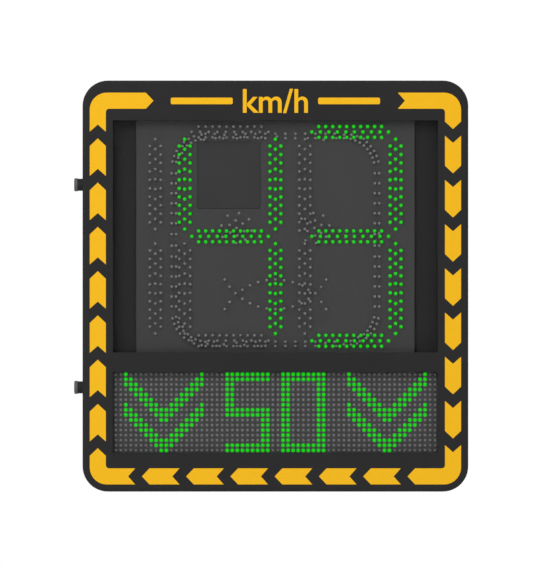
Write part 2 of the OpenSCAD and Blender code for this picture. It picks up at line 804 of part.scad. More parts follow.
// As many arrows as fit between two heights, evenly spaced
module arrow_run(from, to) {
    span = to - from;
    count = floor((span - arrow_gap) / (arrow_l + arrow_gap) + 0.05);
    gap = (span - count * arrow_l) / (count + 1);
    for (i = [0:count - 1]) translate([0, from + gap + i * (arrow_l + gap)]) arrow(arrow_l);
}

module arrow_films() {
    out_x = half_w - film_inset;
    out_z = half_h - film_inset;
    color("#f6bb25") slab(front_y - film_t, front_y) {
        intersection() {
            rounded(2 * out_x, 2 * out_z, film_outer_r);
            union() {
                translate([-out_x, out_z]) corner_arrow(top_left_arms);
                translate([out_x, out_z]) rotate(-90) corner_arrow(top_right_arms);
                translate([out_x, -out_z]) rotate(180) corner_arrow(bottom_right_arms);
                translate([-out_x, -out_z]) rotate(90) corner_arrow(bottom_left_arms);
            }
        }
        translate([-band_x, 0]) arrow_run(-out_z + bottom_left_arms[1], out_z - top_left_arms[0]);
        translate([band_x, 0]) rotate(180) arrow_run(-out_z + top_right_arms[1], out_z - bottom_right_arms[0]);
        translate([0, -band_z]) rotate(90) arrow_run(-out_x + bottom_right_arms[1], out_x - bottom_left_arms[0]);
    }
}

// Display: carrier, digit board and lamps

carrier_w = 2 * (rib_in_x - carrier_clear);
carrier_h = 2 * (rib_in_z - carrier_clear);
digit_board_h = upper_window_h + 2 * pane_lap;
radar_z = upper_window_z + radar_rise;
carrier_opening = 5;
cable_slot_w = 64;
cable_slot_h = 36;
standoff_places = [for (x = [-1, -0.34, 0.34, 1], z = [-1, 0, 1])
    [x * (digit_board_w / 2 - 8), upper_window_z + z * (digit_board_h / 2 - 8)]];
standoff_d = 6;

module display_carrier() {
    color("#2b2b2b") difference() {
        union() {
            slab(carrier_front_y, carrier_back_y) rounded(carrier_w, carrier_h, 12);
            for (s = sides) block([-carrier_w / 2 + 40, carrier_w / 2 - 40], [carrier_front_y, carrier_back_y + carrier_lip],
                s > 0 ? [carrier_h / 2 - carrier_t, carrier_h / 2] : [-carrier_h / 2, -carrier_h / 2 + carrier_t]);
        }
        slab(carrier_front_y - 1, carrier_back_y + 1) {
            translate([-radar_x, radar_z]) square([radar_w + carrier_opening, radar_h + carrier_opening], center = true);
            for (s = sides, t = sides) translate([s * module_w / 2 + t * module_w / 4, lower_window_z])
                rounded(cable_slot_w, cable_slot_h, cable_slot_h / 3);
            for (s = sides) translate([s * digit_board_w / 4, upper_window_z - digit_board_h / 4])
                rounded(cable_slot_w, cable_slot_h, cable_slot_h / 3);
        }
        for (p = pillars) at(p[0], p[1]) rod_y(carrier_front_y - 1, carrier_back_y + 1, carrier_screw_d + screw_clear);
    }
}

module carrier_screws() {
    color("#c4c6c8") for (p = pillars) at(p[0], p[1]) {
        rod_y(carrier_front_y - pilot_depth + screw_end, carrier_back_y, carrier_screw_d);
        rod_y(carrier_back_y, carrier_back_y + 2.5, 8);
    }
}

module digit_board() {
    color("#444444") slab(board_front_y, board_back_y) difference() {
        translate([0, upper_window_z]) square([digit_board_w, digit_board_h], center = true);
        translate([-radar_x, radar_z]) square([radar_w, radar_h], center = true);
    }
}

module board_standoffs() {
    color("#b8bbbd") for (p = standoff_places) at(p[0], p[1]) rod_y(board_back_y, carrier_front_y, standoff_d);
}

// Strokes that each figure lights, named a to g clockwise from the top with g in the middle
FIGURES = ["abcdef", "bc", "abdeg", "abcdg", "bcfg", "acdfg", "acdefg", "abc", "abcdefg", "abcdfg"];
function shows(figure, stroke) = len(search(stroke, FIGURES[figure])) > 0;

// Middle of each stroke from the middle of its figure, in half widths and half heights, and whether it is upright
STROKES = [["a", 0, 1, false], ["b", 1, 0.5, true], ["c", 1, -0.5, true], ["d", 0, -1, false],
    ["e", -1, -0.5, true], ["f", -1, 0.5, true], ["g", 0, 0, false]];

function row(n, pitch) = [for (i = [0:n - 1]) (i - (n - 1) / 2) * pitch];
function stroke_lamps(upright) = [for (side = [-1, 0, 1])
    let (pitch = upright ? (side == 0 ? upright_mid_pitch : upright_outer_pitch)
        : (side == 0 ? level_mid_pitch : level_outer_pitch))
    for (t = row(row_lamps, pitch)) upright ? [side * row_gap, t] : [t, side * row_gap]];

digits_w = 2 * (digit_w + digit_gap);
units_x = digits_w / 2 - digit_w / 2;
tens_x = units_x - digit_gap - digit_w;
hundreds_x = -digits_w / 2;

// Every digit lamp, as [x, z, lit]
function figure_lamps(x, figure) = [for (s = STROKES, p = stroke_lamps(s[3]))
    [x + s[1] * digit_w / 2 + p[0], upper_window_z + s[2] * digit_half_h + p[1], shows(figure, s[0])]];
function hundreds_lamps() = [for (half = [0.5, -0.5], p = stroke_lamps(true))
    [hundreds_x + p[0], upper_window_z + half * digit_half_h + p[1], false]];
function digit_lamps() = concat(hundreds_lamps(), figure_lamps(tens_x, floor(number_lit / 10)),
    figure_lamps(units_x, number_lit % 10));

module lamps(places, y_front, y_back) {
    slab(y_front, y_back) for (p = places) translate([p[0], p[1]]) circle(d = lamp_d, $fn = 16);
}

module lit_digit_lamps() {
    color("#1ee61e") lamps([for (p = digit_lamps()) if (p[2]) p], lamp_front_y, board_front_y);
}

module unlit_digit_lamps() {
    color("#777777") lamps([for (p = digit_lamps()) if (!p[2]) p], lamp_front_y, board_front_y);
}

// Icon lamps: a double ring, two eyes and two mouths. One that would meet a digit lamp moves aside

face_z = upper_window_z - ring_drop;
ring_corner_step = 9.25;
ring_corner_lamps = 8;
ring_row = [for (i = [-7:7]) i * ring_pitch];
ring_side = [for (s = sides, i = [0:6]) s * (i == 0 ? 11.3 : 13.1 + i * ring_pitch)];

function ring(half_w, half_h, r) = concat(
    [for (s = sides, x = ring_row) [x, s * half_h]],
    [for (s = sides, z = ring_side) [s * half_w, z]],
    [for (sx = sides, sz = sides, k = row(ring_corner_lamps, ring_corner_step))
        [sx * (half_w - r + r * cos(45 + k)), sz * (half_h - r + r * sin(45 + k))]]);
function eye(s) = concat([[s * eye_x, eye_rise]],
    [for (i = [0:5]) [s * (eye_x + eye_r / 2 * cos(24 + 60 * i)), eye_rise + eye_r / 2 * sin(24 + 60 * i)]],
    [for (i = [0:7]) [s * (eye_x + eye_r * cos(9.6 + 45 * i)), eye_rise + eye_r * sin(9.6 + 45 * i)]]);

mouth_r = (mouth_half_w * mouth_half_w + mouth_sag * mouth_sag) / (2 * mouth_sag);
mouth_step = asin(mouth_half_w / mouth_r) / 7;
function mouth(i) = [mouth_r * sin(i * mouth_step), mouth_r * (1 - cos(i * mouth_step))];
smile = [for (i = [-7:7]) let (m = mouth(i)) [m[0], m[1] - mouth_drop - mouth_sag / 2]];
frown = [for (i = [-7:7]) let (m = mouth(i)) [m[0], mouth_sag / 2 - mouth_drop - m[1]]];

least_space = lamp_d + 0.8;
farthest_nudge = 9;
nudges = [for (d = [0:1.5:farthest_nudge], a = [0:45:315]) [d * cos(a), d * sin(a)]];
function apart(p, q) = norm([p[0] - q[0], p[1] - q[1]]);
function meets(p, places) = len([for (q = places) if (apart(p, q) < least_space) 1]) > 0;
function nudged(p, digits) = let (near = [for (q = digits) if (apart(p, q) < farthest_nudge + least_space) q],
    free = [for (n = nudges) if (!meets(p + n, near)) p + n])
    len(free) > 0 ? [free[0]] : [];
function face_ideal() = concat(ring(ring_half_w, ring_half_h, ring_r),
    ring(ring_half_w - ring_gap, ring_half_h - ring_gap, ring_r - ring_gap),
    eye(-1), eye(1), smile, [for (p = frown) if (!meets(p, smile)) p]);
function face_moved() = let (digits = digit_lamps()) [for (p = face_ideal()) each nudged([p[0], p[1] + face_z], digits)];
// Where two moved lamps would meet, only the first stays
function face_places() = let (moved = face_moved()) [for (i = [0:len(moved) - 1])
    if (i == 0 || !meets(moved[i], [for (j = [0:i - 1]) moved[j]])) moved[i]];

module face_lamps() {
    color("#777777") lamps(face_places(), lamp_front_y, board_front_y);
}

// Matrix modules, left and right

module_front_y = carrier_front_y - module_depth;
module_fit = 0.2;

module matrix_frame(s) {
    color("#3a3a3a") translate([s * module_w / 2, 0, lower_window_z]) difference() {
        block([-module_w / 2 + module_fit, module_w / 2 - module_fit], [module_front_y, carrier_front_y],
            [-module_h / 2, module_h / 2]);
        block([-module_w / 2 + module_wall, module_w / 2 - module_wall], [module_front_y + module_wall, carrier_front_y + 1],
            [-module_h / 2 + module_wall, module_h / 2 - module_wall]);
    }
}

module matrix_board(s) {
    color("#1d3b24") translate([s * module_w / 2, 0, lower_window_z])
        block([-module_w / 2 + module_wall + 0.5, module_w / 2 - module_wall - 0.5],
            [module_front_y + module_wall, module_front_y + module_wall + board_t],
            [-module_h / 2 + module_wall + 0.5, module_h / 2 - module_wall - 0.5]);
}

module left_matrix_frame() {
    matrix_frame(-1);
}

module right_matrix_frame() {
    matrix_frame(1);
}

module left_matrix_board() {
    matrix_board(-1);
}

module right_matrix_board() {
    matrix_board(1);
}

// Lit pattern: two stacked arrows that point down on each side of a two-figure number
matrix_cols = 2 * module_cols;
arrow_cols = 16;
arrow_margin = 2;
arrow_thick = 3;
arrow_step = 6;
figure_cols = 9;
figure_space = 2;
stroke_cols = 2;

function in_arrows(c, r, first) = let (d = abs(c - first - (arrow_cols - 1) / 2) - 0.5, up = r - d)
    c >= first && c < first + arrow_cols && ((up >= 0 && up < arrow_thick)
        || (up >= arrow_step && up < arrow_step + arrow_thick));
function in_stroke(stroke, c, r) = let (top = module_rows - 1, mid = top / 2, right = figure_cols - stroke_cols)
    stroke == "a" ? r > top - stroke_cols : stroke == "d" ? r < stroke_cols
    : stroke == "g" ? abs(r - mid) < stroke_cols / 2
    : stroke == "b" ? c >= right && r > mid - 1 : stroke == "c" ? c >= right && r < mid + 1
    : stroke == "e" ? c < stroke_cols && r < mid + 1 : c < stroke_cols && r > mid - 1;
function in_figure(figure, c, r, first) = c >= first && c < first + figure_cols
    && len([for (s = STROKES) if (shows(figure, s[0]) && in_stroke(s[0], c - first, r)) 1]) > 0;
function matrix_lit(c, r) = in_arrows(c, r, arrow_margin)
    || in_arrows(c, r, matrix_cols - arrow_margin - arrow_cols)
    || in_figure(floor(matrix_number / 10), c, r, matrix_cols / 2 - figure_space / 2 - figure_cols)
    || in_figure(matrix_number % 10, c, r, matrix_cols / 2 + figure_space / 2);
function matrix_places(lit) = [for (c = [0:matrix_cols - 1], r = [0:module_rows - 1]) if (matrix_lit(c, r) == lit)
    [(c - (matrix_cols - 1) / 2) * matrix_pitch, lower_window_z + (r - (module_rows - 1) / 2) * matrix_pitch]];

module lit_matrix_lamps() {
    color("#1ee61e") lamps(matrix_places(true), module_front_y - matrix_lamp_h, module_front_y);
}

module unlit_matrix_lamps() {
    color("#777777") lamps(matrix_places(false), module_front_y - matrix_lamp_h, module_front_y);
}

// Radar sensor behind the opening in the digit board

radar_fit = 0.5;
cover_t = 2.5;
flange_t = 5;
flange_step = 6;
cover_front_y = carrier_back_y - flange_t - cover_t;

module radar_cover() {
    color("#3d3d3d") slab(cover_front_y, cover_front_y + cover_t) translate([-radar_x, radar_z])
        rounded(radar_w - 2 * radar_fit, radar_h - 2 * radar_fit, 2);
}

module radar_sensor() {
    color("#26282a") {
        slab(carrier_back_y - flange_t, carrier_back_y) translate([-radar_x, radar_z])
            rounded(radar_w - 2 * radar_fit - 2, radar_h - 2 * radar_fit - 2, 2);
        slab(carrier_back_y, carrier_back_y + sensor_depth) translate([-radar_x, radar_z])
            rounded(radar_w - 2 * flange_step - 2, radar_h - 2 * flange_step - 2, 4);
    }
}

module radar_bracket() {
    color("#8f9193") slab(carrier_back_y, carrier_back_y + carrier_t) translate([-radar_x, radar_z]) difference() {
        rounded(radar_w + 30, radar_h + 30, 5);
        rounded(radar_w - 2 * flange_step - 1, radar_h - 2 * flange_step - 1, 4.5);
    }
}

// Equipment on the housing's back wall

tray_t = 1.5;
battery_x = 0;
battery_rise = 28;
battery_bottom = floor_z + battery_rise;
battery_front_y = floor_y - tray_t - battery_depth;
post_d = 10;
post_h = 12;
strap_w = 30;
strap_foot = 14;

module battery() {
    color("#3a3d40") {
        block([battery_x - battery_w / 2, battery_x + battery_w / 2], [battery_front_y, floor_y - tray_t],
            [battery_bottom, battery_bottom + battery_h - 8]);
        block([battery_x - battery_w / 2 + 2, battery_x + battery_w / 2 - 2], [battery_front_y + 2, floor_y - tray_t - 2],
            [battery_bottom + battery_h - 8, battery_bottom + battery_h]);
        for (s = sides) translate([battery_x + s * (battery_w / 2 - 22), floor_y - tray_t - battery_depth / 2,
            battery_bottom + battery_h]) cylinder(d = post_d, h = post_h, $fn = coarse);
    }
}

module battery_tray() {
    color("#8f9193") {
        block([battery_x - battery_w / 2 - strap_foot - 4, battery_x + battery_w / 2 + strap_foot + 4], [floor_y - tray_t, floor_y],
            [battery_bottom - tray_t, battery_bottom + battery_h - 20]);
        block([battery_x - battery_w / 2, battery_x + battery_w / 2], [battery_front_y - tray_t, floor_y],
            [battery_bottom - tray_t, battery_bottom]);
        block([battery_x - battery_w / 2, battery_x + battery_w / 2], [battery_front_y - tray_t, battery_front_y],
            [battery_bottom - tray_t, battery_bottom + 12]);
    }
}

module battery_strap() {
    mid_z = battery_bottom + battery_h * 0.55;
    color("#a8abad") translate([battery_x, 0, mid_z - strap_w / 2]) linear_extrude(strap_w) {
        translate([-battery_w / 2 - tray_t, battery_front_y - tray_t]) square([battery_w + 2 * tray_t, tray_t]);
        for (s = sides) {
            translate([s * (battery_w / 2 + tray_t / 2) - tray_t / 2, battery_front_y - tray_t])
                square([tray_t, battery_depth + tray_t]);
            translate([s > 0 ? battery_w / 2 : -battery_w / 2 - strap_foot, floor_y - 2 * tray_t])
                square([strap_foot, tray_t]);
        }
    }
}

controller_x = 110;
controller_z = 190;
case_wall = 3;
cover_lip_t = 6;

module controller_case() {
    color("#56595c") translate([controller_x, 0, controller_z]) difference() {
        slab(floor_y - controller_depth, floor_y) rounded(controller_w, controller_h, 6);
        slab(floor_y - controller_depth - 1, floor_y - case_wall)
            rounded(controller_w - 2 * case_wall, controller_h - 2 * case_wall, 3);
    }
}

module controller_board() {
    color("#1d3b24") translate([controller_x, 0, controller_z]) {
        slab(floor_y - case_wall - 8 - board_t, floor_y - case_wall - 8)
            square([controller_w - 4 * case_wall, controller_h - 4 * case_wall], center = true);
        for (sx = sides, sz = sides) at(sx * (controller_w / 2 - 4 * case_wall), sz * (controller_h / 2 - 4 * case_wall))
            rod_y(floor_y - case_wall - 8, floor_y - case_wall, 6);
    }
}

module controller_cover() {
    color("#6a6e72") translate([controller_x, 0, controller_z])
        slab(floor_y - controller_depth - cover_lip_t, floor_y - controller_depth) rounded(controller_w, controller_h, 6);
}

power_x = -120;
power_z = 205;
power_base_t = 12;
fin_t = 3;
fin_count = 9;

module power_module() {
    color("#8f9193") translate([power_x, 0, power_z]) {
        block([-power_w / 2, power_w / 2], [floor_y - power_base_t, floor_y], [-power_h / 2, power_h / 2]);
        for (i = [0:fin_count - 1]) {
            x = -power_w / 2 + i * (power_w - fin_t) / (fin_count - 1);
            block([x, x + fin_t], [floor_y - power_depth, floor_y - power_base_t + 0.5], [-power_h / 2, power_h / 2]);
        }
    }
}

terminal_w = 130;
terminal_h = 26;
terminal_depth = 24;
terminal_ways = 10;

module terminal_strip() {
    way = terminal_w / terminal_ways;
    color("#b9b9b4") translate([controller_x, 0, controller_z - controller_h / 2 - 40]) difference() {
        block([-terminal_w / 2, terminal_w / 2], [floor_y - terminal_depth, floor_y], [-terminal_h / 2, terminal_h / 2]);
        for (i = [0:terminal_ways - 1]) at(-terminal_w / 2 + (i + 0.5) * way, 0) {
            rod_y(floor_y - terminal_depth - 1, floor_y - terminal_depth + 6, way * 0.55);
            block([-way * 0.3, way * 0.3], [floor_y - terminal_depth + 10, floor_y - 4], [-terminal_h / 2 - 1, -terminal_h / 2 + 6]);
        }
    }
}

rear_housing();
upper_rail();
lower_rail();
rail_bolts();
rail_nuts();
upper_hinge_leaf();
lower_hinge_leaf();
hinge_pins();
housing_hinge_screws();
keepers();
keeper_screws();
battery();
battery_tray();
battery_strap();
controller_case();
controller_cover();
controller_board();
power_module();
terminal_strip();
cable_gland();
gland_nut();
vent_plug();
front_frame();
arrow_films();
upper_window();
lower_window();
upper_window_seal();
lower_window_seal();
window_clips();
clip_screws();
door_seal();
display_carrier();
carrier_screws();
digit_board();
board_standoffs();
lit_digit_lamps();
unlit_digit_lamps();
face_lamps();
left_matrix_frame();
right_matrix_frame();
left_matrix_board();
right_matrix_board();
lit_matrix_lamps();
unlit_matrix_lamps();
radar_sensor();
radar_cover();
radar_bracket();
door_hinge_leaves();
door_hinge_screws();
lock_bodies();
lock_collars();
lock_nuts();
upper_lock_plug();
upper_cam();
upper_cam_screw();
lower_lock_plug();
lower_cam();
lower_cam_screw();
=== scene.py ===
# %% [markdown]
# # A radar speed sign
# This sign hangs on a pole beside a road. A dark moulded door carries two clear windows, and behind them
# stand fields of lamps that show a driver's speed. The construction comes from the CAD model, at real size
# and in metres. This lesson adds what a plain model lacks: finishes, domed lamps, film and light.

# %% Load the frame
import json
import math

import bmesh
import bpy
from mathutils import Matrix, Vector


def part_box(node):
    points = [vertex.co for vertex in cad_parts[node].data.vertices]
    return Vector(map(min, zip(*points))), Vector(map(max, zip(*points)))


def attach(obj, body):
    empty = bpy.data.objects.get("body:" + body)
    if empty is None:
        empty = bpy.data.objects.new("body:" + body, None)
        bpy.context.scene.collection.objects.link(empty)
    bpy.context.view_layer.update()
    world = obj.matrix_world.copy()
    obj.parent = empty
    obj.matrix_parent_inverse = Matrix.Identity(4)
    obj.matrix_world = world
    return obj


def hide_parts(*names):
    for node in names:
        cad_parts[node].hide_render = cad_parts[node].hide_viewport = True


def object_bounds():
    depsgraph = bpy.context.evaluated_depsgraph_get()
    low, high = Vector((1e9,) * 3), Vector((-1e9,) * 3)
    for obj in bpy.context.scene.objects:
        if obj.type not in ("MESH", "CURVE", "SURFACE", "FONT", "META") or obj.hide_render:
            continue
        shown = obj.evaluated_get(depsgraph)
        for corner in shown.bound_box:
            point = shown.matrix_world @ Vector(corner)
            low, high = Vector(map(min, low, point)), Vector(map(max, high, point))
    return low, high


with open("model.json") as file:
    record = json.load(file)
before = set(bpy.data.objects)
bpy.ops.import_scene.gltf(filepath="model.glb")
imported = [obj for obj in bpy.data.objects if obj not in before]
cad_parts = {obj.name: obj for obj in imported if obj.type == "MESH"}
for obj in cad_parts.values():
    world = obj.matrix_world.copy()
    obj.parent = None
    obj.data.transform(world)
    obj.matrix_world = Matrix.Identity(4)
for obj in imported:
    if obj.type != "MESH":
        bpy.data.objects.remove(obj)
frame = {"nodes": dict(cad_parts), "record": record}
cad_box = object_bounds()
print("CAD box:", [[round(v, 4) for v in corner] for corner in cad_box])

# %% [markdown]
# ## Small tools
# Every finish is a small graph of nodes. One function adds a node, sets what it is told and joins its
# sockets, so that a graph reads as a list. Colours are written as sRGB hex values, as a paint chart gives
# them, and one function turns them into the linear values that the renderer works in.

# %% Tools for colour, nodes and objects
MM = 0.001
CLOSE = 0.01 * MM
NEAR = 0.2 * MM
VERT = bmesh.types.BMVert
EDGE = bmesh.types.BMEdge


def linear(chart, alpha=1.0):
    """A colour such as "#f6bb25" as linear red, green, blue and alpha."""
    parts = [int(chart[i : i + 2], 16) / 255 for i in (1, 3, 5)]
    return [p / 12.92 if p <= 0.04045 else ((p + 0.055) / 1.055) ** 2.4 for p in parts] + [alpha]


def add(tree, kind, sockets=None, **settings):
    """Adds a node. A socket's value is a constant, or another node's output to join to it."""
    made = tree.nodes.new(kind)
    for name, value in settings.items():
        setattr(made, name, value)
    for name, value in (sockets or {}).items():
        if isinstance(value, bpy.types.NodeSocket):
            tree.links.new(value, made.inputs[name])
        else:
            made.inputs[name].default_value = value
    return made


def start_finish(name, roughness, metallic=0.0, **sockets):
    """A new material with one shader, and the place that its patterns are read from."""
    material = bpy.data.materials.new(name)
    material.use_nodes = True
    tree = material.node_tree
    tree.nodes.clear()
    values = {"Roughness": roughness, "Metallic": metallic}
    values.update({key.replace("_", " "): value for key, value in sockets.items()})
    shader = add(tree, "ShaderNodeBsdfPrincipled", values)
    add(tree, "ShaderNodeOutputMaterial", {"Surface": shader.outputs["BSDF"]})
    place = add(tree, "ShaderNodeTexCoord").outputs["Object"]
    return material, tree, shader, place


def vary_colour(tree, shader, pattern, low, high):
    """Colour that runs from low to high as the pattern goes from dark to light."""
    mixed = add(tree, "ShaderNodeMix", {"Factor": pattern}, data_type="RGBA")
    mixed.inputs["A"].default_value = linear(low)
    mixed.inputs["B"].default_value = linear(high)
    tree.links.new(mixed.outputs["Result"], shader.inputs["Base Color"])


def vary_roughness(tree, shader, pattern, low, high):
    """Roughness that runs from low to high in the same way."""
    ranged = add(tree, "ShaderNodeMapRange", {"Value": pattern, "To Min": low, "To Max": high})
    tree.links.new(ranged.outputs["Result"], shader.inputs["Roughness"])


def raise_surface(tree, shader, pattern, depth, strength):
    """Relief that is too fine to be modelled. The light parts of the pattern stand up."""
    bump = add(tree, "ShaderNodeBump", {"Height": pattern, "Distance": depth, "Strength": strength})
    tree.links.new(bump.outputs["Normal"], shader.inputs["Normal"])


def paint(piece, *finishes):
    """Gives an object these materials, in place of any that it has."""
    piece.data.materials.clear()
    for finish in finishes:
        piece.data.materials.append(finish)


def as_mesh(bm, name):
    """Turns a bmesh into a mesh, and frees the bmesh."""
    mesh = bpy.data.meshes.new(name)
    bm.to_mesh(mesh)
    bm.free()
    return mesh


def keep_mesh(name, bm, body, slot, *finishes, smooth=True):
    """Makes an object from a bmesh, with its normals outwards, and rides it on a body."""
    bmesh.ops.recalc_face_normals(bm, faces=bm.faces)
    mesh = as_mesh(bm, name)
    mesh.polygons.foreach_set("use_smooth", [smooth] * len(mesh.polygons))
    piece = bpy.data.objects.new(name, mesh)
    bpy.context.scene.collection.objects.link(piece)
    paint(piece, *finishes)
    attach(piece, body)
    return piece


def loose_parts(node):
    """The low and high corners of each loose part of a CAD node."""
    bm = bmesh.new()
    bm.from_mesh(frame["nodes"][node].data)
    bmesh.ops.remove_doubles(bm, verts=bm.verts, dist=CLOSE)
    seen = set()
    parts = []
    for first in bm.verts:
        if first in seen:
            continue
        group = []
        waiting = [first]
        seen.add(first)
        while waiting:
            vert = waiting.pop()
            group.append(vert.co)
            for edge in vert.link_edges:
                other = edge.other_vert(vert)
                if other not in seen:
                    seen.add(other)
                    waiting.append(other)
        corners = [Vector([pick(p[i] for p in group) for i in range(3)]) for pick in (min, max)]
        parts.append(corners)
    bm.free()
    return parts


def add_copy(bm, mesh, matrix):
    """Adds a mesh to a bmesh and moves the new points by a matrix."""
    count = len(bm.verts)
    bm.from_mesh(mesh)
    bm.verts.ensure_lookup_table()
    bmesh.ops.transform(bm, matrix=matrix, verts=bm.verts[count:])


def bevel(bm, edges, radius, segments, clamp=False):
    """Rounds edges. The new faces keep the finish of the faces beside them."""
    bmesh.ops.bevel(
        bm,
        geom=edges,
        offset=radius,
        affect="EDGES",
        segments=segments,
        profile=0.5,
        material=-1,
        clamp_overlap=clamp,
    )


def only(geometry, *kinds):
    """Keeps only the points, or the edges, of all that a bmesh operator gives back."""
    return [element for element in geometry if isinstance(element, kinds)]


def plain_box(size, centre):
    """A box with sharp edges."""
    bm = bmesh.new()
    bmesh.ops.create_cube(bm, size=1.0)
    bmesh.ops.scale(bm, vec=size, verts=bm.verts)
    bmesh.ops.translate(bm, vec=centre, verts=bm.verts)
    return bm


# %% [markdown]
# ## Moulded plastics
# The door and the housing are polycarbonate, moulded in a tool with a spark-eroded grain. The grain is
# about 0.4 mm across and scatters the light, so that the dark grey looks soft and even. It is drawn at
# 1.2 mm here, because the real grain would be too fine to show. A slow drift in tone stands for the flow
# of the plastic in the mould.

# %% Moulded plastic finishes
GRAIN = 1.2 * MM
FLOW = 70 * MM
FINE_RELIEF = 0.02 * MM


def moulded(name, low, high, roughness, grain=GRAIN, depth=0.06 * MM, specular=0.3):
    """A plastic whose colour drifts from low to high, under a grain of its own width and depth."""
    material, tree, shader, place = start_finish(name, roughness, Specular_IOR_Level=specular, IOR=1.58)
    flow = add(tree, "ShaderNodeTexNoise", {"Vector": place, "Scale": 1 / FLOW, "Detail": 2.0})
    vary_colour(tree, shader, flow.outputs["Fac"], low, high)
    fine = add(tree, "ShaderNodeTexNoise", {"Vector": place, "Scale": 1 / grain, "Detail": 1.0})
    vary_roughness(tree, shader, fine.outputs["Fac"], roughness - 0.08, roughness + 0.08)
    raise_surface(tree, shader, fine.outputs["Fac"], depth, 0.5)
    return material


door_polycarbonate = moulded("door_polycarbonate", "#2a2a2b", "#2f2f30", 0.68, specular=0.03)
housing_polycarbonate = moulded("housing_polycarbonate", "#252526", "#2b2b2c", 0.64, specular=0.15)
radome_polycarbonate = moulded(
    "radome_polycarbonate", "#383838", "#3c3c3c", 0.65, depth=FINE_RELIEF, specular=0.05
)
sensor_abs = moulded("sensor_abs", "#202224", "#272a2c", 0.5)
module_polycarbonate = moulded(
    "module_polycarbonate", "#434344", "#484849", 0.7, depth=FINE_RELIEF, specular=0.05
)
battery_abs = moulded("battery_abs", "#2b2e31", "#35383b", 0.45, grain=2 * MM)
case_abs = moulded("case_abs", "#5d6165", "#666b70", 0.5)
terminal_polyamide = moulded("terminal_polyamide", "#b3b3ac", "#bdbdb6", 0.45)
gland_polyamide = moulded("gland_polyamide", "#191919", "#222222", 0.45)
lock_head_plastic = moulded("lock_head_plastic", "#545454", "#5b5b5b", 0.5, specular=0.2)
lock_collar_plastic = moulded("lock_collar_plastic", "#262626", "#2b2b2b", 0.6, specular=0.1)

# %% [markdown]
# ## Metals
# The rails are extruded aluminium, anodised. Extrusion leaves faint lines along the rail, so the noise is
# stretched along X. Sheet parts are zinc plated, and zinc grows in flat crystals a few millimetres wide:
# a Voronoi pattern gives each crystal its own roughness. Small fasteners only show a fine, even plating.

# %% Metal finishes
DRAW_LINE = 0.8 * MM
SPANGLE = 5 * MM


def anodised_aluminium(name, along, tint):
    """Extruded metal, with its draw lines stretched along one axis."""
    material, tree, shader, place = start_finish(name, 0.42, 1.0)
    stretch = add(tree, "ShaderNodeMapping", {"Vector": place, "Scale": along})
    lines = add(tree, "ShaderNodeTexNoise", {"Vector": stretch.outputs["Vector"], "Scale": 1 / DRAW_LINE})
    vary_colour(tree, shader, lines.outputs["Fac"], tint[0], tint[1])
    vary_roughness(tree, shader, lines.outputs["Fac"], 0.36, 0.5)
    raise_surface(tree, shader, lines.outputs["Fac"], 0.02 * MM, 0.4)
    return material


def zinc_plated(name, crystal, tint, roughness):
    """Plated metal, each crystal of which has its own tint and roughness."""
    material, tree, shader, place = start_finish(name, roughness, 1.0)
    cells = add(tree, "ShaderNodeTexVoronoi", {"Vector": place, "Scale": 1 / crystal})
    vary_colour(tree, shader, cells.outputs["Color"], tint[0], tint[1])
    vary_roughness(tree, shader, cells.outputs["Color"], roughness - 0.07, roughness + 0.1)
    fine = add(tree, "ShaderNodeTexNoise", {"Vector": place, "Scale": 1 / DRAW_LINE})
    raise_surface(tree, shader, fine.outputs["Fac"], 0.01 * MM, 0.4)
    return material


ALONG_X = (0.02, 1.0, 1.0)
ALONG_Z = (1.0, 1.0, 0.02)
rail_aluminium = anodised_aluminium("rail_aluminium", ALONG_X, ("#a3a5a7", "#b4b6b8"))
fin_aluminium = anodised_aluminium("fin_aluminium", ALONG_Z, ("#8b8d90", "#a0a2a5"))
bracket_zinc = zinc_plated("bracket_zinc", SPANGLE, ("#94979a", "#adb0b2"), 0.4)
fastener_zinc = zinc_plated("fastener_zinc", 1.5 * MM, ("#b0b2b4", "#c6c8ca"), 0.32)
lock_nickel = zinc_plated("lock_nickel", 2.5 * MM, ("#b5b5b2", "#c8c8c5"), 0.25)

# %% [markdown]
# ## Film, rubber, paint and boards
# The amber arrows are retroreflective sheet: small sealed cells about 3 mm wide behind a tough amber face.
# By day the cell walls show as a faint net of lines. The gaskets are extruded EPDM rubber. The carrier is
# sheet metal with a black powder coat, which dries with the low ripples that painters call orange peel.

# %% Film, rubber, paint and board finishes
FILM_CELL = 3 * MM
CELL_WALL = 0.12
RUBBER_SKIN = 1.5 * MM
ORANGE_PEEL = 2.5 * MM
LACQUER = 3 * MM
TRACK_GAP = 0.12
TRACK_RUN = 9


def reflective_film():
    """Amber sheet with a faint net of cell walls."""
    material, tree, shader, place = start_finish("reflective_film", 0.5, Specular_IOR_Level=0.05)
    cells = add(
        tree, "ShaderNodeTexVoronoi", {"Vector": place, "Scale": 1 / FILM_CELL}, feature="DISTANCE_TO_EDGE"
    )
    walls = add(
        tree,
        "ShaderNodeMapRange",
        {"Value": cells.outputs["Distance"], "From Max": CELL_WALL, "To Min": 0.0, "To Max": 1.0},
    )
    vary_colour(tree, shader, walls.outputs["Result"], "#efb31c", "#f6bc22")
    raise_surface(tree, shader, walls.outputs["Result"], 0.03 * MM, 0.3)
    return material


def epdm_rubber():
    """Black rubber with a matt skin."""
    material, tree, shader, place = start_finish("epdm_rubber", 0.8, Specular_IOR_Level=0.2)
    skin = add(tree, "ShaderNodeTexNoise", {"Vector": place, "Scale": 1 / RUBBER_SKIN, "Detail": 3.0})
    vary_colour(tree, shader, skin.outputs["Fac"], "#121212", "#1b1b1b")
    raise_surface(tree, shader, skin.outputs["Fac"], 0.05 * MM, 0.5)
    return material


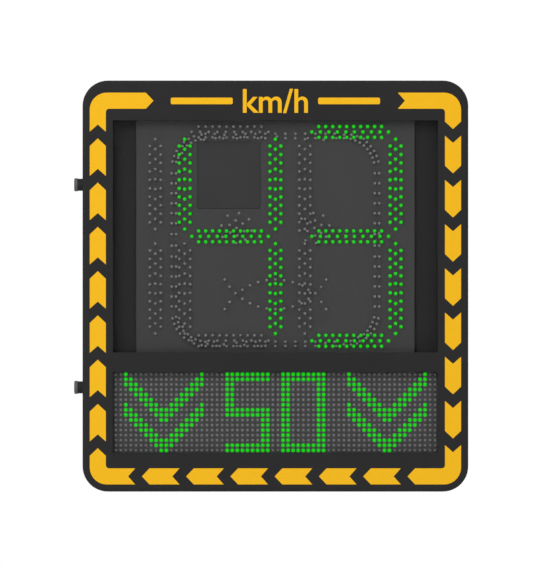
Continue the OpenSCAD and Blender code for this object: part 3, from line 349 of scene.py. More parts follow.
def powder_coat():
    """Black paint with low ripples."""
    material, tree, shader, place = start_finish("powder_coat", 0.6, Specular_IOR_Level=0.05)
    ripples = add(tree, "ShaderNodeTexNoise", {"Vector": place, "Scale": 1 / ORANGE_PEEL, "Detail": 0.0})
    vary_colour(tree, shader, ripples.outputs["Fac"], "#292829", "#2c2b2c")
    vary_roughness(tree, shader, ripples.outputs["Fac"], 0.56, 0.64)
    raise_surface(tree, shader, ripples.outputs["Fac"], 0.004 * MM, 0.2)
    return material


def solder_mask(name, low, high, pitch, contrast):
    """Lacquer over copper tracks, which show as faint lines at their own pitch."""
    material, tree, shader, place = start_finish(name, 0.5, Specular_IOR_Level=0.15)
    on_front = add(tree, "ShaderNodeMapping", {"Vector": place, "Rotation": (math.pi / 2, 0.0, 0.0)})
    tracks = add(
        tree,
        "ShaderNodeTexBrick",
        {
            "Vector": on_front.outputs["Vector"],
            "Scale": 1.0,
            "Mortar Size": pitch * TRACK_GAP,
            "Brick Width": pitch * TRACK_RUN,
            "Row Height": pitch,
        },
    )
    faded = add(
        tree,
        "ShaderNodeMapRange",
        {"Value": tracks.outputs["Fac"], "To Min": 0.5 - contrast, "To Max": 0.5 + contrast},
    )
    vary_colour(tree, shader, faded.outputs["Result"], low, high)
    lacquer = add(tree, "ShaderNodeTexNoise", {"Vector": place, "Scale": 1 / LACQUER})
    vary_roughness(tree, shader, lacquer.outputs["Fac"], 0.45, 0.6)
    return material


amber_film = reflective_film()
rubber = epdm_rubber()
black_powder_coat = powder_coat()
grey_solder_mask = solder_mask("grey_solder_mask", "#3e3d3e", "#434243", 5 * MM, 0.15)
green_solder_mask = solder_mask("green_solder_mask", "#12301a", "#2a5a35", 2.5 * MM, 0.5)

# %% [markdown]
# ## Clear panes
# The windows are clear polycarbonate with a matt coat, which keeps the sky's mirror image off the lamps.
# The pane is nearly all see-through, so its alpha is low. A real refraction would also darken what lies
# behind it, because lamps' light doesn't pass such a surface directly.

# %% Pane finish
PANE_HAZE = 40 * MM
pane_polycarbonate, tree, shader, place = start_finish(
    "pane_polycarbonate", 0.3, IOR=1.58, Alpha=0.04, Specular_IOR_Level=0.1
)
haze = add(tree, "ShaderNodeTexNoise", {"Vector": place, "Scale": 1 / PANE_HAZE})
vary_colour(tree, shader, haze.outputs["Fac"], "#393a3b", "#434445")
vary_roughness(tree, shader, haze.outputs["Fac"], 0.25, 0.35)

# %% [markdown]
# ## Lamp finishes
# A lit lamp is an even green. An unlit one is a clear lens: its middle shows the bright cup under the chip,
# and its rim bends the dark board into view. Both are painted into opaque colour: the pale middle is a
# painted reflection of the cup, and the dark rim is painted refraction of the board. So a dome has two
# finishes, one for the middle and one for the rim, and no picture is needed.

# %% Lamp finishes
LENS_CLOUD = 2 * MM
UNDER_GLOW = ("#042004", "#052605")


def lens(name, colour, glow=None, glow_strength=0.0):
    """The finish of a lamp's middle or rim, which glows if the lamp is lit. An unlit middle's pale grey is a
    painted reflection of the cup, and an unlit rim's dark grey is painted refraction of the board.
    """
    material, tree, shader, place = start_finish(name, 0.35, Specular_IOR_Level=0.1)
    cloud = add(tree, "ShaderNodeTexNoise", {"Vector": place, "Scale": 1 / LENS_CLOUD})
    vary_colour(tree, shader, cloud.outputs["Fac"], colour[0], colour[1])
    if glow:
        shader.inputs["Emission Color"].default_value = linear(glow)
        shader.inputs["Emission Strength"].default_value = glow_strength
    return material


lit_lens = lens("lit_lens", UNDER_GLOW, "#0af00a", 0.74)
lit_rim = lens("lit_rim", UNDER_GLOW, "#08dc08", 0.7)
# Pale grey middles of unlit lamps: a painted reflection of the bright cup under the chip.
unlit_lens_painted_cup = lens("unlit_lens_painted_cup", ("#828282", "#8a8a8a"))
dim_lens_painted_cup = lens("dim_lens_painted_cup", ("#767676", "#7e7e7e"))
# Dark grey rims of unlit lamps: painted refraction of the dark board seen through the lens.
unlit_rim_painted_board = lens("unlit_rim_painted_board", ("#5a5a5a", "#606060"))

# %% Finish of every CAD node
FINISHES = {
    door_polycarbonate: ["front_frame"],
    housing_polycarbonate: ["rear_housing"],
    rail_aluminium: ["upper_rail", "lower_rail"],
    fin_aluminium: ["power_module"],
    bracket_zinc: [
        "upper_hinge_leaf",
        "lower_hinge_leaf",
        "door_hinge_leaves",
        "keepers",
        "battery_tray",
        "battery_strap",
        "window_clips",
        "radar_bracket",
        "upper_cam",
        "lower_cam",
    ],
    fastener_zinc: [
        "rail_bolts",
        "rail_nuts",
        "hinge_pins",
        "housing_hinge_screws",
        "door_hinge_screws",
        "keeper_screws",
        "clip_screws",
        "carrier_screws",
        "board_standoffs",
        "lock_nuts",
        "upper_cam_screw",
        "lower_cam_screw",
    ],
    lock_nickel: ["upper_lock_plug", "lower_lock_plug"],
    battery_abs: ["battery"],
    case_abs: ["controller_case", "controller_cover"],
    green_solder_mask: ["controller_board", "left_matrix_board", "right_matrix_board"],
    terminal_polyamide: ["terminal_strip"],
    gland_polyamide: ["cable_gland", "gland_nut", "vent_plug"],
    amber_film: ["arrow_films"],
    pane_polycarbonate: ["upper_window", "lower_window"],
    rubber: ["upper_window_seal", "lower_window_seal", "door_seal"],
    black_powder_coat: ["display_carrier"],
    grey_solder_mask: ["digit_board"],
    module_polycarbonate: ["left_matrix_frame", "right_matrix_frame"],
    radome_polycarbonate: ["radar_cover"],
    sensor_abs: ["radar_sensor"],
    lock_head_plastic: ["lock_bodies"],
    lock_collar_plastic: ["lock_collars"],
}
for finish, names in FINISHES.items():
    for name in names:
        paint(frame["nodes"][name], finish)
print("Finishes given to", sum(len(names) for names in FINISHES.values()), "nodes")

# %% [markdown]
# ## Softened edges
# No real edge is sharp: folded sheet has a small radius, and a moulding takes one from its tool. The CAD
# solids have sharp edges and come as loose triangles. So a copy of each is joined up, its flat faces are
# made whole, and its sharp edges get a small bevel that catches the light. The copy stands in for the CAD
# node.

# %% Copies with softened edges
RECORD = frame["record"]
NODE_BODY = {node: body for body, nodes in RECORD["behaviour"]["bodies"].items() for node in nodes}
NODE_SLOT = {part["node"]: part["material_slot"] for part in RECORD["subparts"]}
SHARP = math.radians(50)
CREASE = math.radians(20)
FLAT = math.radians(1)
SOFT_JOIN = 0.002 * MM


def mark_creases(bm):
    """Smooth shading that stops at creases, so that round walls look round and flat ones look flat."""
    for edge in bm.edges:
        edge.smooth = edge.is_manifold and edge.calc_face_angle() < CREASE


def stand_in(name, bm, node):
    """Makes an object that is shown in place of a CAD node, with its body and finish."""
    mark_creases(bm)
    finishes = frame["nodes"][node].data.materials
    piece = keep_mesh(name, bm, NODE_BODY[node], NODE_SLOT[node], *finishes)
    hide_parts(node)
    return piece


def joined_copy(node, distance):
    """A CAD node with its triangles joined up and its flat faces made whole."""
    bm = bmesh.new()
    bm.from_mesh(frame["nodes"][node].data)
    bmesh.ops.remove_doubles(bm, verts=bm.verts, dist=distance)
    bmesh.ops.dissolve_limit(bm, angle_limit=FLAT, verts=bm.verts, edges=bm.edges)
    return bm


def soften(node, radius):
    """Shows a copy of a CAD node with softened edges."""
    bm = joined_copy(node, SOFT_JOIN)
    sharp = [edge for edge in bm.edges if edge.is_manifold and edge.calc_face_angle() > SHARP]
    bevel(bm, sharp, radius, 2, clamp=True)
    return stand_in(node + "_soft", bm, node)


SOFT_EDGES = {
    0.3 * MM: [
        "battery_strap",
        "battery_tray",
        "window_clips",
        "radar_bracket",
        "power_module",
        "upper_cam",
        "lower_cam",
    ],
    0.4 * MM: ["upper_hinge_leaf", "lower_hinge_leaf", "door_hinge_leaves", "keepers", "terminal_strip"],
    0.5 * MM: ["controller_case", "radar_sensor", "hinge_pins"],
    0.8 * MM: ["radar_cover"],
    1.5 * MM: ["controller_cover"],
}
for radius, nodes in SOFT_EDGES.items():
    for node in nodes:
        piece = soften(node, radius)
        print(piece.name, "has", len(piece.data.polygons), "faces")

# %% [markdown]
# ## Turned pieces
# Screws, posts, lock heads and the gland's cap are round, and a lathe makes them from one outline. Blender's
# spin does the same: half of the outline goes round an axis, and the piece is then turned to its place.

# %% Tools for turned and hexagonal pieces
SCREW_STEPS = 24
SMOOTH_STEPS = 48
SPIN_JOIN = 0.001 * MM
RIM_ROUND = 0.06
UP = (0, 0, 1)
DOWN = (0, 0, -1)
TO_FRONT = (0, -1, 0)
TO_BACK = (0, 1, 0)
TO_LEFT = (-1, 0, 0)


def in_mm(outline):
    """Outline points that are written in millimetres, as metres."""
    return [(radius * MM, height * MM) for radius, height in outline]


def spin_round(bm, points, edges, axis, steps):
    """Carries an outline once round an axis, and joins its end to its start."""
    bmesh.ops.spin(
        bm,
        geom=points + edges,
        cent=(0.0, 0.0, 0.0),
        axis=axis,
        angle=math.tau,
        steps=steps,
        use_merge=True,
    )
    bmesh.ops.remove_doubles(bm, verts=bm.verts, dist=SPIN_JOIN)


def turned(outline, steps, closed=False):
    """Turns (radius, height) points about Z. A closed outline makes a ring, an open one ends on Z."""
    bm = bmesh.new()
    points = [bm.verts.new((radius, 0.0, height)) for radius, height in outline]
    pairs = list(zip(points, points[1:])) + ([(points[-1], points[0])] if closed else [])
    edges = [bm.edges.new(pair) for pair in pairs]
    spin_round(bm, points, edges, (0.0, 0.0, 1.0), steps)
    bmesh.ops.recalc_face_normals(bm, faces=bm.faces)
    return bm


def thread(radius, top, bottom, pitch):
    """Outline points of a thread from its top down, drawn as rings."""
    flanks = 2 * max(1, round((top - bottom) / pitch))
    step = (top - bottom) / flanks
    groove = 0.3 * pitch
    return [(radius - (0.0 if i % 2 else groove), top - i * step) for i in range(flanks + 1)]


def hexagon(across, height, bore=0.0):
    """A hexagon about Z that stands on height 0, with softened rims and maybe a bore."""
    bm = bmesh.new()
    bmesh.ops.create_circle(bm, cap_ends=not bore, segments=6, radius=across / 2)
    bmesh.ops.rotate(bm, cent=(0, 0, 0), matrix=Matrix.Rotation(math.pi / 2, 3, "Z"), verts=bm.verts)
    if bore:
        bmesh.ops.create_circle(bm, cap_ends=False, segments=SCREW_STEPS, radius=bore / 2)
        bmesh.ops.bridge_loops(bm, edges=bm.edges)
    raised = bmesh.ops.extrude_face_region(bm, geom=bm.faces[:])["geom"]
    bmesh.ops.translate(bm, vec=(0, 0, height), verts=only(raised, VERT))
    bmesh.ops.recalc_face_normals(bm, faces=bm.faces)
    rims = [
        edge
        for edge in bm.edges
        if abs(edge.verts[0].co.z - edge.verts[1].co.z) < CLOSE
        and min(vert.co.xy.length for vert in edge.verts) > 0.45 * across
    ]
    bevel(bm, rims, RIM_ROUND * across, 2, clamp=True)
    return bm


def facing(place, direction):
    """The matrix that stands a piece made about Z at a place, with its top towards a direction."""
    turn = Vector(UP).rotation_difference(Vector(direction))
    return Matrix.Translation(place) @ turn.to_matrix().to_4x4()


def along(axis, look):
    """The direction along an axis if look is 1, and against it if look is -1."""
    direction = [0.0, 0.0, 0.0]
    direction[axis] = look
    return direction


# %% [markdown]
# ## Screws, bolts and nuts
# Tamper-resistant button screws with a hexagon socket hold such a sign together. A socket starts as a round
# hole in the outline, and its ring of points is then drawn in to the six flats.

# %% Screws
X = 0
Y = 1
Z = 2
# Head radius, head depth and shank radius of each size.
M3 = (3 * MM, 2 * MM, 1.5 * MM)
M4 = (4 * MM, 2.5 * MM, 2 * MM)
CAM_SCREW = (5 * MM, 2.5 * MM, 2 * MM)


def socket_screw(head_radius, head_depth, shank_radius=0.0, length=0.0, pitch=1 * MM):
    """The head's seat is at height 0, the socket looks up and the shank, if any, runs down."""
    socket = 0.42 * head_radius
    outline = [
        (0.0, 0.35 * head_depth),
        (socket, 0.35 * head_depth),
        (socket, 0.98 * head_depth),
        (1.12 * socket, head_depth),
        (0.72 * head_radius, 0.97 * head_depth),
        (0.92 * head_radius, 0.72 * head_depth),
        (head_radius, 0.35 * head_depth),
        (head_radius, 0.0),
    ]
    outline += thread(shank_radius, 0.0, -length, pitch) if length else []
    bm = turned(outline + [(0.0, -length)], SCREW_STEPS)
    for vert in bm.verts:
        if vert.co.z > 0 and abs(vert.co.xy.length - socket) < CLOSE:
            across = math.atan2(vert.co.y, vert.co.x) % (math.pi / 3) - math.pi / 6
            flat = math.cos(math.pi / 6) / math.cos(across)
            bmesh.ops.scale(bm, vec=(flat, flat, 1.0), verts=[vert])
    return bm


def set_screws(node, axis, look, size, pitch=1.4 * MM):
    """One detailed screw for each loose part of a node. The heads look along an axis, or against it."""
    head_radius, head_depth, shank_radius = size
    bm = bmesh.new()
    made = {}
    screws = loose_parts(node)
    for low, high in screws:
        length = round((high[axis] - low[axis] - head_depth) / MM, 3) * MM
        if length not in made:
            screw = socket_screw(head_radius, head_depth, shank_radius, length, pitch)
            made[length] = as_mesh(screw, "one_screw")
        seat = (low + high) / 2
        seat[axis] = high[axis] - head_depth if look > 0 else low[axis] + head_depth
        add_copy(bm, made[length], facing(seat, along(axis, look)))
    stand_in(node + "_turned", bm, node)
    print(node, "has", len(screws), "screws")


set_screws("carrier_screws", Y, 1, M4)
set_screws("clip_screws", Y, 1, M3, pitch=1.1 * MM)
set_screws("housing_hinge_screws", X, 1, M4)
set_screws("door_hinge_screws", X, -1, M4)
set_screws("keeper_screws", X, -1, M4)
set_screws("upper_cam_screw", X, 1, CAM_SCREW, pitch=0.9 * MM)
set_screws("lower_cam_screw", X, 1, CAM_SCREW, pitch=0.9 * MM)

# %% [markdown]
# The CAD model has no solids for the screws of the equipment and of the displays. Their heads are made here,
# and each sits flat on the sheet or cover that it holds.

# %% Heads of the equipment's and displays' screws
SHEET = 1.5 * MM
COVER_SCREW_IN = Vector((10, 0, 10)) * MM
TRAY_SCREW_IN = Vector((9, 0, 25)) * MM
STRAP_SCREW_IN = 6 * MM
BRACKET_SCREW_IN = Vector((7.5, 0, 7.5)) * MM
MODULE_SCREW_IN = Vector((20, 0, 16)) * MM


def corners_in(node, inset):
    """Four places, as (x, z), that stand in from the corners of a node."""
    low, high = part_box(node)
    middle = (low + high) / 2
    half = (high - low) / 2 - inset
    return [(middle.x + a * half.x, middle.z + b * half.z) for a in (-1, 1) for b in (-1, 1)]


def set_heads(name, body, places, seat_y, looks, size):
    """Screw heads at places on one flat seat."""
    head_radius, head_depth = size[:2]
    head = as_mesh(socket_screw(head_radius, head_depth), "one_head")
    bm = bmesh.new()
    for x, z in places:
        add_copy(bm, head, facing((x, seat_y, z), looks))
    mark_creases(bm)
    keep_mesh(name, bm, body, "zinc_steel", fastener_zinc)
    print(name, "has", len(places), "heads")


seat_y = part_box("controller_cover")[0].y
places = corners_in("controller_cover", COVER_SCREW_IN)
set_heads("cover_screw_heads", "housing", places, seat_y, TO_FRONT, M4)

seat_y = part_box("battery_tray")[1].y - SHEET
places = corners_in("battery_tray", TRAY_SCREW_IN)
set_heads("tray_screw_heads", "housing", places, seat_y, TO_FRONT, M4)

low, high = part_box("battery_strap")
foot_x = high.x - STRAP_SCREW_IN
places = [(side * foot_x, (low.z + high.z) / 2) for side in (-1, 1)]
set_heads("strap_screw_heads", "housing", places, high.y - SHEET, TO_FRONT, M4)

low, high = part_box("radar_bracket")
places = corners_in("radar_bracket", BRACKET_SCREW_IN)
set_heads("bracket_screw_heads", "door", places, high.y, TO_BACK, M3)

places = corners_in("left_matrix_frame", MODULE_SCREW_IN)
places += corners_in("right_matrix_frame", MODULE_SCREW_IN)
set_heads("module_screw_heads", "door", places, low.y, TO_BACK, M3)

# %% Bolts and nuts
BOLT_ACROSS = 11.5 * MM
BOLT_HEAD = 4 * MM
BOLT_RADIUS = 3 * MM
BOLT_TIP = 0.6 * MM
LOCK_NUT_ACROSS = 24 * MM
GLAND_ACROSS = 31 * MM
low, high = loose_parts("rail_bolts")[0]
shank = high.y - low.y - BOLT_HEAD
outline = [(0.0, 0.0)]
outline += thread(BOLT_RADIUS, 0.0, BOLT_TIP - shank, 1 * MM)
outline += [(BOLT_RADIUS - BOLT_TIP, -shank), (0.0, -shank)]
bolt = hexagon(BOLT_ACROSS, BOLT_HEAD)
add_copy(bolt, as_mesh(turned(outline, SCREW_STEPS), "one_shank"), Matrix.Identity(4))


def set_like(node, mesh, axis, look, below=0.0):
    """Puts a piece at each loose part of a node. What reaches below its height 0 is told by below."""
    bm = bmesh.new()
    parts = loose_parts(node)
    for low, high in parts:
        foot = (low + high) / 2
        foot[axis] = low[axis] + below if look > 0 else high[axis] - below
        add_copy(bm, mesh, facing(foot, along(axis, look)))
    stand_in(node + "_turned", bm, node)
    print(node, "has", len(parts), "pieces")


set_like("rail_bolts", as_mesh(bolt, "one_bolt"), Y, 1, below=shank)
set_like("rail_nuts", as_mesh(hexagon(BOLT_ACROSS, 5 * MM, bore=6.1 * MM), "one_nut"), Y, -1)
set_like("lock_nuts", as_mesh(hexagon(LOCK_NUT_ACROSS, 6 * MM, bore=18.2 * MM), "one_lock_nut"), X, 1)
set_like("gland_nut", as_mesh(hexagon(GLAND_ACROSS, 5 * MM, bore=20.1 * MM), "one_gland_nut"), Z, 1)

# %% [markdown]
# ## Cable gland and breather
# The gland has a hexagon to hold it by and a ribbed cap to turn, with a rubber bung in its mouth. The
# breather has a fluted head. A fluted wall is a turned one with every other column of points drawn in.

# %% Gland and breather
CAP_HEIGHT = 12 * MM
CAP_RADIUS = 12 * MM
FLANGE_HEIGHT = 5 * MM
BARREL_RADIUS = 10 * MM
BARREL_HEIGHT = 10 * MM
VENT_HEIGHT = 6 * MM
VENT_RADIUS = 11 * MM
GLAND_CAP = [
    (7.2, 12.0),
    (9.5, 12.0),
    (11.2, 10.8),
    (12.0, 9.0),
    (12.0, 1.0),
    (11.4, 0.0),
    (7.2, 0.0),
]
BUNG = [(0.0, 0.0), (7.2, 0.0), (7.2, 10.5), (5.6, 11.4), (4.0, 8.0), (0.0, 8.0)]
VENT = [
    (0.0, 4.6),
    (5.0, 4.6),
    (5.6, 6.0),
    (10.0, 6.0),
    (11.0, 5.0),
    (11.0, 0.6),
    (10.4, 0.0),
    (6.0, 0.0),
    (6.0, -7.0),
    (0.0, -7.0),
]


def flute(bm, radius, share):
    """Draws in every other column of points at a radius, which makes a round wall fluted."""
    for vert in bm.verts:
        column = round(math.atan2(vert.co.y, vert.co.x) / math.tau * SMOOTH_STEPS)
        if abs(vert.co.xy.length - radius) < NEAR and column % 2:
            bmesh.ops.scale(bm, vec=(share, share, 1.0), verts=[vert])


low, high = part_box("cable_gland")
foot = (low + high) / 2
foot.z = low.z + CAP_HEIGHT
cap = turned(in_mm(GLAND_CAP), SMOOTH_STEPS, closed=True)
flute(cap, CAP_RADIUS, 0.96)
barrel = [(0.0, BARREL_HEIGHT)] + thread(BARREL_RADIUS, BARREL_HEIGHT, 0.0, 1.5 * MM) + [(0.0, 0.0)]
barrel_foot = foot + Vector((0.0, 0.0, FLANGE_HEIGHT))
gland = bmesh.new()
add_copy(gland, as_mesh(cap, "one_cap"), facing(foot, DOWN))
add_copy(gland, as_mesh(hexagon(GLAND_ACROSS, FLANGE_HEIGHT), "one_flange"), facing(foot, UP))
add_copy(gland, as_mesh(turned(barrel, SMOOTH_STEPS), "one_barrel"), facing(barrel_foot, UP))
add_copy(gland, as_mesh(turned(in_mm(BUNG), SCREW_STEPS), "one_bung"), facing(foot, DOWN))
stand_in("cable_gland_turned", gland, "cable_gland")

low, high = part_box("vent_plug")
foot = (low + high) / 2
foot.z = low.z + VENT_HEIGHT
vent = turned(in_mm(VENT), SMOOTH_STEPS)
flute(vent, VENT_RADIUS, 0.95)
breather = bmesh.new()
add_copy(breather, as_mesh(vent, "one_vent"), facing(foot, DOWN))
stand_in("vent_plug_turned", breather, "vent_plug")
print("Gland and breather turned")

# %% [markdown]
# ## Lock heads
# The lugs at the left edge are the locks' heads, seen from their side: a pale rim on a dark collar. The rim
# is rounded over, the collar has small chamfers, and the barrel's thread runs through the door's wall.

# %% Locks
LOCK_FACE = -380 * MM
PLUG_EDGE = 0.2 * MM
LOCK_HEAD = [
    (6.05, -12.0),
    (8.4, -12.0),
    *thread(9.0, -0.2, -11.4, 1.5)[::-1],
    (9.0, 10.0),
    (12.4, 10.0),
    (13.0, 10.6),
    (13.0, 15.4),
    (12.6, 16.5),
    (11.6, 17.0),
    (8.7, 17.0),
    (8.3, 16.6),
    (8.3, 15.0),
    (6.05, 15.0),
]
LOCK_COLLAR = [(9.1, 0.0), (11.6, 0.0), (12.0, 0.4), (12.0, 9.6), (11.6, 10.0), (9.1, 10.0)]


def set_rings(node, outline):
    """One ring for each lock. Height 0 of the outline is the side face of the door."""
    ring = as_mesh(turned(in_mm(outline), SMOOTH_STEPS, closed=True), "one_ring")
    bm = bmesh.new()
    for low, high in loose_parts(node):
        middle = (low + high) / 2
        add_copy(bm, ring, facing((LOCK_FACE, middle.y, middle.z), TO_LEFT))
    stand_in(node + "_turned", bm, node)


set_rings("lock_bodies", LOCK_HEAD)
set_rings("lock_collars", LOCK_COLLAR)
for node in ("upper_lock_plug", "lower_lock_plug"):
    soften(node, PLUG_EDGE)
print("Locks turned")

# %% [markdown]
# ## Battery
# A sealed battery is a moulded case with a lid welded on. Its corners are generously rounded, its front has
# a shallow bare panel, and two posts with nuts stand on coloured rings.

# %% Battery
CASE_EDGE = 3 * MM
LID_HEIGHT = 22 * MM
LID_STEP = 8 * MM
SEAM = 1 * MM
PANEL_IN = 9 * MM
PANEL_DEPTH = 0.8 * MM
POST_HEIGHT = 12 * MM
POST_X = 68.5 * MM
POST = [
    (0.0, 12.0),
    (2.6, 12.0),
    (3.0, 11.6),
    (3.0, 7.5),
    (4.9, 7.5),
    (5.0, 7.2),
    (5.0, 4.2),
    (4.6, 4.0),
    (4.6, 0.0),
    (0.0, 0.0),
]
POST_RING = [(4.7, 0.0), (9.0, 0.0), (9.0, 1.6), (8.4, 2.2), (4.7, 2.2)]


def rounded_box(low, high, radius, segments):
    """A box between two corners, with rounded edges."""
    bm = plain_box(high - low, (low + high) / 2)
    bevel(bm, bm.edges[:], radius, segments)
    return bm


low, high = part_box("battery")
top = high.z - POST_HEIGHT
joint = top - LID_HEIGHT
case = rounded_box(low, Vector((high.x, high.y, joint)), CASE_EDGE, 4)
front = min(case.faces, key=lambda f: (round(f.calc_center_median().y, 4), -f.calc_area()))
bmesh.ops.inset_region(case, faces=[front], thickness=PANEL_IN, depth=0.0, use_even_offset=True)
bmesh.ops.inset_region(case, faces=[front], thickness=PANEL_DEPTH, depth=-PANEL_DEPTH, use_even_offset=True)
battery = bmesh.new()
add_copy(battery, as_mesh(case, "one_case"), Matrix.Identity(4))
# The seam, the lid and the raised part of the lid: how far in, bottom, top and edge radius.
for inset, bottom, up, radius in (
    (1.2 * MM, joint - SEAM, joint + SEAM, 0.4 * MM),
    (0.0, joint + SEAM, top - LID_STEP, 2 * MM),
    (6 * MM, top - LID_STEP - SEAM, top, 1.5 * MM),
):
    inwards = Vector((inset, inset, 0.0))
    near = Vector((low.x, low.y, bottom)) + inwards
    far = Vector((high.x, high.y, up)) - inwards
    layer = rounded_box(near, far, radius, 3)
    add_copy(battery, as_mesh(layer, "one_layer"), Matrix.Identity(4))
stand_in("battery_case_and_lid", battery, "battery")

red_cap = moulded("red_cap", "#9c1f1c", "#ab2622", 0.45)
black_cap = moulded("black_cap", "#1a1a1a", "#222222", 0.45)
post_mesh = as_mesh(turned(in_mm(POST), SCREW_STEPS), "one_post")
ring_mesh = as_mesh(turned(in_mm(POST_RING), SCREW_STEPS, closed=True), "one_post_ring")
for name, x, cap_finish in (("positive", POST_X, red_cap), ("negative", -POST_X, black_cap)):
    place = facing((x, (low.y + high.y) / 2, top), UP)
    for kind, mesh, slot, finish in (
        ("post", post_mesh, "zinc_steel", fastener_zinc),
        ("post_ring", ring_mesh, "battery_case", cap_finish),
    ):
        bm = bmesh.new()
        add_copy(bm, mesh, place)
        mark_creases(bm)
        keep_mesh(name + "_" + kind, bm, "housing", slot, finish)
print("Battery made, posts", round(2 * POST_X / MM), "mm apart")

# %% [markdown]
# ## Terminal screws
# Each way of the terminal block has a clamp screw at the bottom of its hole.

# %% Terminal screws
WAYS = 10
HOLE_DEPTH = 6 * MM
CLAMP_SCREW = [(0.0, 2.0), (2.6, 2.0), (3.0, 1.6), (3.0, 0.0), (0.0, 0.0)]
low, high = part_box("terminal_strip")
way = (high.x - low.x) / WAYS
clamp_screw = as_mesh(turned(in_mm(CLAMP_SCREW), SCREW_STEPS), "one_terminal_screw")
bm = bmesh.new()
for i in range(WAYS):
    place = (low.x + (i + 0.5) * way, low.y + HOLE_DEPTH, (low.z + high.z) / 2)
    add_copy(bm, clamp_screw, facing(place, TO_FRONT))
mark_creases(bm)
keep_mesh("terminal_clamp_screws", bm, "housing", "zinc_steel", fastener_zinc)
print("Terminal block has", WAYS, "screws")

# %% [markdown]
# ## Door seal
# The seal is an extruded rubber strip with a hollow bulb. Its section is drawn once and carried round the
# rib: straight along each side by an extrusion, and round each corner by a quarter spin.

# %% Door seal
SEAL_WIDTH = 8 * MM
SEAL_CORNER = 18 * MM
CORNER_STEPS = 8
low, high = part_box("door_seal")
depth = high.y - low.y
# The section, as shares of the width and the depth: a foot, and a round bulb on it.
section = [(0.0, 0.0), (0.0, 0.3)]
for degrees in range(15, 180, 15):
    angle = math.radians(degrees)
    section.append((0.5 - 0.5 * math.cos(angle), 0.3 + 0.7 * math.sin(angle)))
section += [(1.0, 0.3), (1.0, 0.0)]
bm = bmesh.new()
ring = [bm.verts.new((high.x - u * SEAL_WIDTH, low.y + v * depth, 0.0)) for u, v in section]
loop = [bm.edges.new(pair) for pair in zip(ring, ring[1:] + ring[:1])]
straight_x = high.x - SEAL_CORNER
straight_z = high.z - SEAL_CORNER
RUNS = [
    ((0, 0, straight_z), (straight_x, 0, straight_z)),
    ((-2 * straight_x, 0, 0), (-straight_x, 0, straight_z)),
    ((0, 0, -2 * straight_z), (-straight_x, 0, -straight_z)),
    ((2 * straight_x, 0, 0), (straight_x, 0, -straight_z)),
]
for run, corner in RUNS:
    moved = bmesh.ops.extrude_edge_only(bm, edges=loop)["geom"]
    bmesh.ops.translate(bm, vec=run, verts=only(moved, VERT))
    turned_end = bmesh.ops.spin(
        bm,
        geom=only(moved, VERT, EDGE),
        cent=corner,
        axis=(0.0, -1.0, 0.0),
        angle=math.pi / 2,
        steps=CORNER_STEPS,
    )["geom_last"]
    loop = only(turned_end, EDGE)
moved = bmesh.ops.extrude_edge_only(bm, edges=loop)["geom"]
bmesh.ops.translate(bm, vec=(0, 0, straight_z), verts=only(moved, VERT))
bmesh.ops.remove_doubles(bm, verts=bm.verts, dist=CLOSE)
bmesh.ops.recalc_face_normals(bm, faces=bm.faces)
stand_in("door_seal_bulb", bm, "door_seal")
print("Seal is", round(2 * high.x / MM), "by", round(2 * high.z / MM), "mm")

# %% [markdown]
# ## Amber film
# The film is cut by a plotter. On the real sign its top run lies a little lower than the CAD model has it,
# the band is a little narrower, and each bend has a small radius inside. A copy of the CAD film gets all
# three: the top run moves down, both sides of the band are trimmed, and the inner corners are rounded.

# %% Film with its top run in place
RUN_DROP = 9.7 * MM
BAND_WIDTH = 33 * MM
OUTER_TRIM = 0.5 * MM
INNER_TRIM = 0.8 * MM
TRIM_FADE = 20 * MM
INNER_BEND = 6.5 * MM
BEND_STEPS = 5
RUN_MARGIN = 3 * MM
low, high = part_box("arrow_films")
bm = joined_copy("arrow_films", CLOSE)


def trimmed(value, edge):
    """Draws both sides of the band towards its middle line, and leaves what lies further in."""
    inwards = edge - abs(value)
    if inwards < BAND_WIDTH:
        shift = inwards / BAND_WIDTH * (INNER_TRIM + OUTER_TRIM) - OUTER_TRIM
    else:
        shift = INNER_TRIM * max(0.0, 1 - (inwards - BAND_WIDTH) / TRIM_FADE)
    return math.copysign(abs(value) + shift, value)


for vert in bm.verts:
    in_top_run = vert.co.z > high.z - BAND_WIDTH - RUN_MARGIN
    vert.co.x = trimmed(vert.co.x, high.x)
    vert.co.z = trimmed(vert.co.z, high.z) - (RUN_DROP if in_top_run else 0.0)
inner_x = high.x - BAND_WIDTH + INNER_TRIM
inner_z = (high.z - BAND_WIDTH + INNER_TRIM - RUN_DROP, BAND_WIDTH - INNER_TRIM - high.z)
inner = [
    edge
    for edge in bm.edges
    if abs(edge.verts[0].co.y - edge.verts[1].co.y) > NEAR / 2
    and abs(abs(edge.verts[0].co.x) - inner_x) < NEAR
    and min(abs(edge.verts[0].co.z - z) for z in inner_z) < NEAR
]
bevel(bm, inner, INNER_BEND, BEND_STEPS)
stand_in("arrow_films_cut", bm, "arrow_films")
print("Film has", len(inner), "rounded inner corners")

# %% [markdown]
# ## Domed lamps
# On the board each lamp is a moulded lens with a round tip. A lit one looks larger than an unlit one, and
# so it is made larger. The CAD node gives every lamp's place as a plain cylinder, so the places are read
# from its loose parts. One dome is made by spinning half of its outline about its own axis, with few faces,
# because it is repeated more than a thousand times.

# %% Lamps in place of the CAD cylinders
SPIN_STEPS = 10
LIT_RADIUS = 3.3 * MM
LIT_MATRIX_RADIUS = 1.15 * LIT_RADIUS
UNLIT_RADIUS = 2.7 * MM
DIGIT_TIP = 2.5 * MM
MATRIX_TIP = 1.2 * MM
MIDDLE_SHARE = 0.62


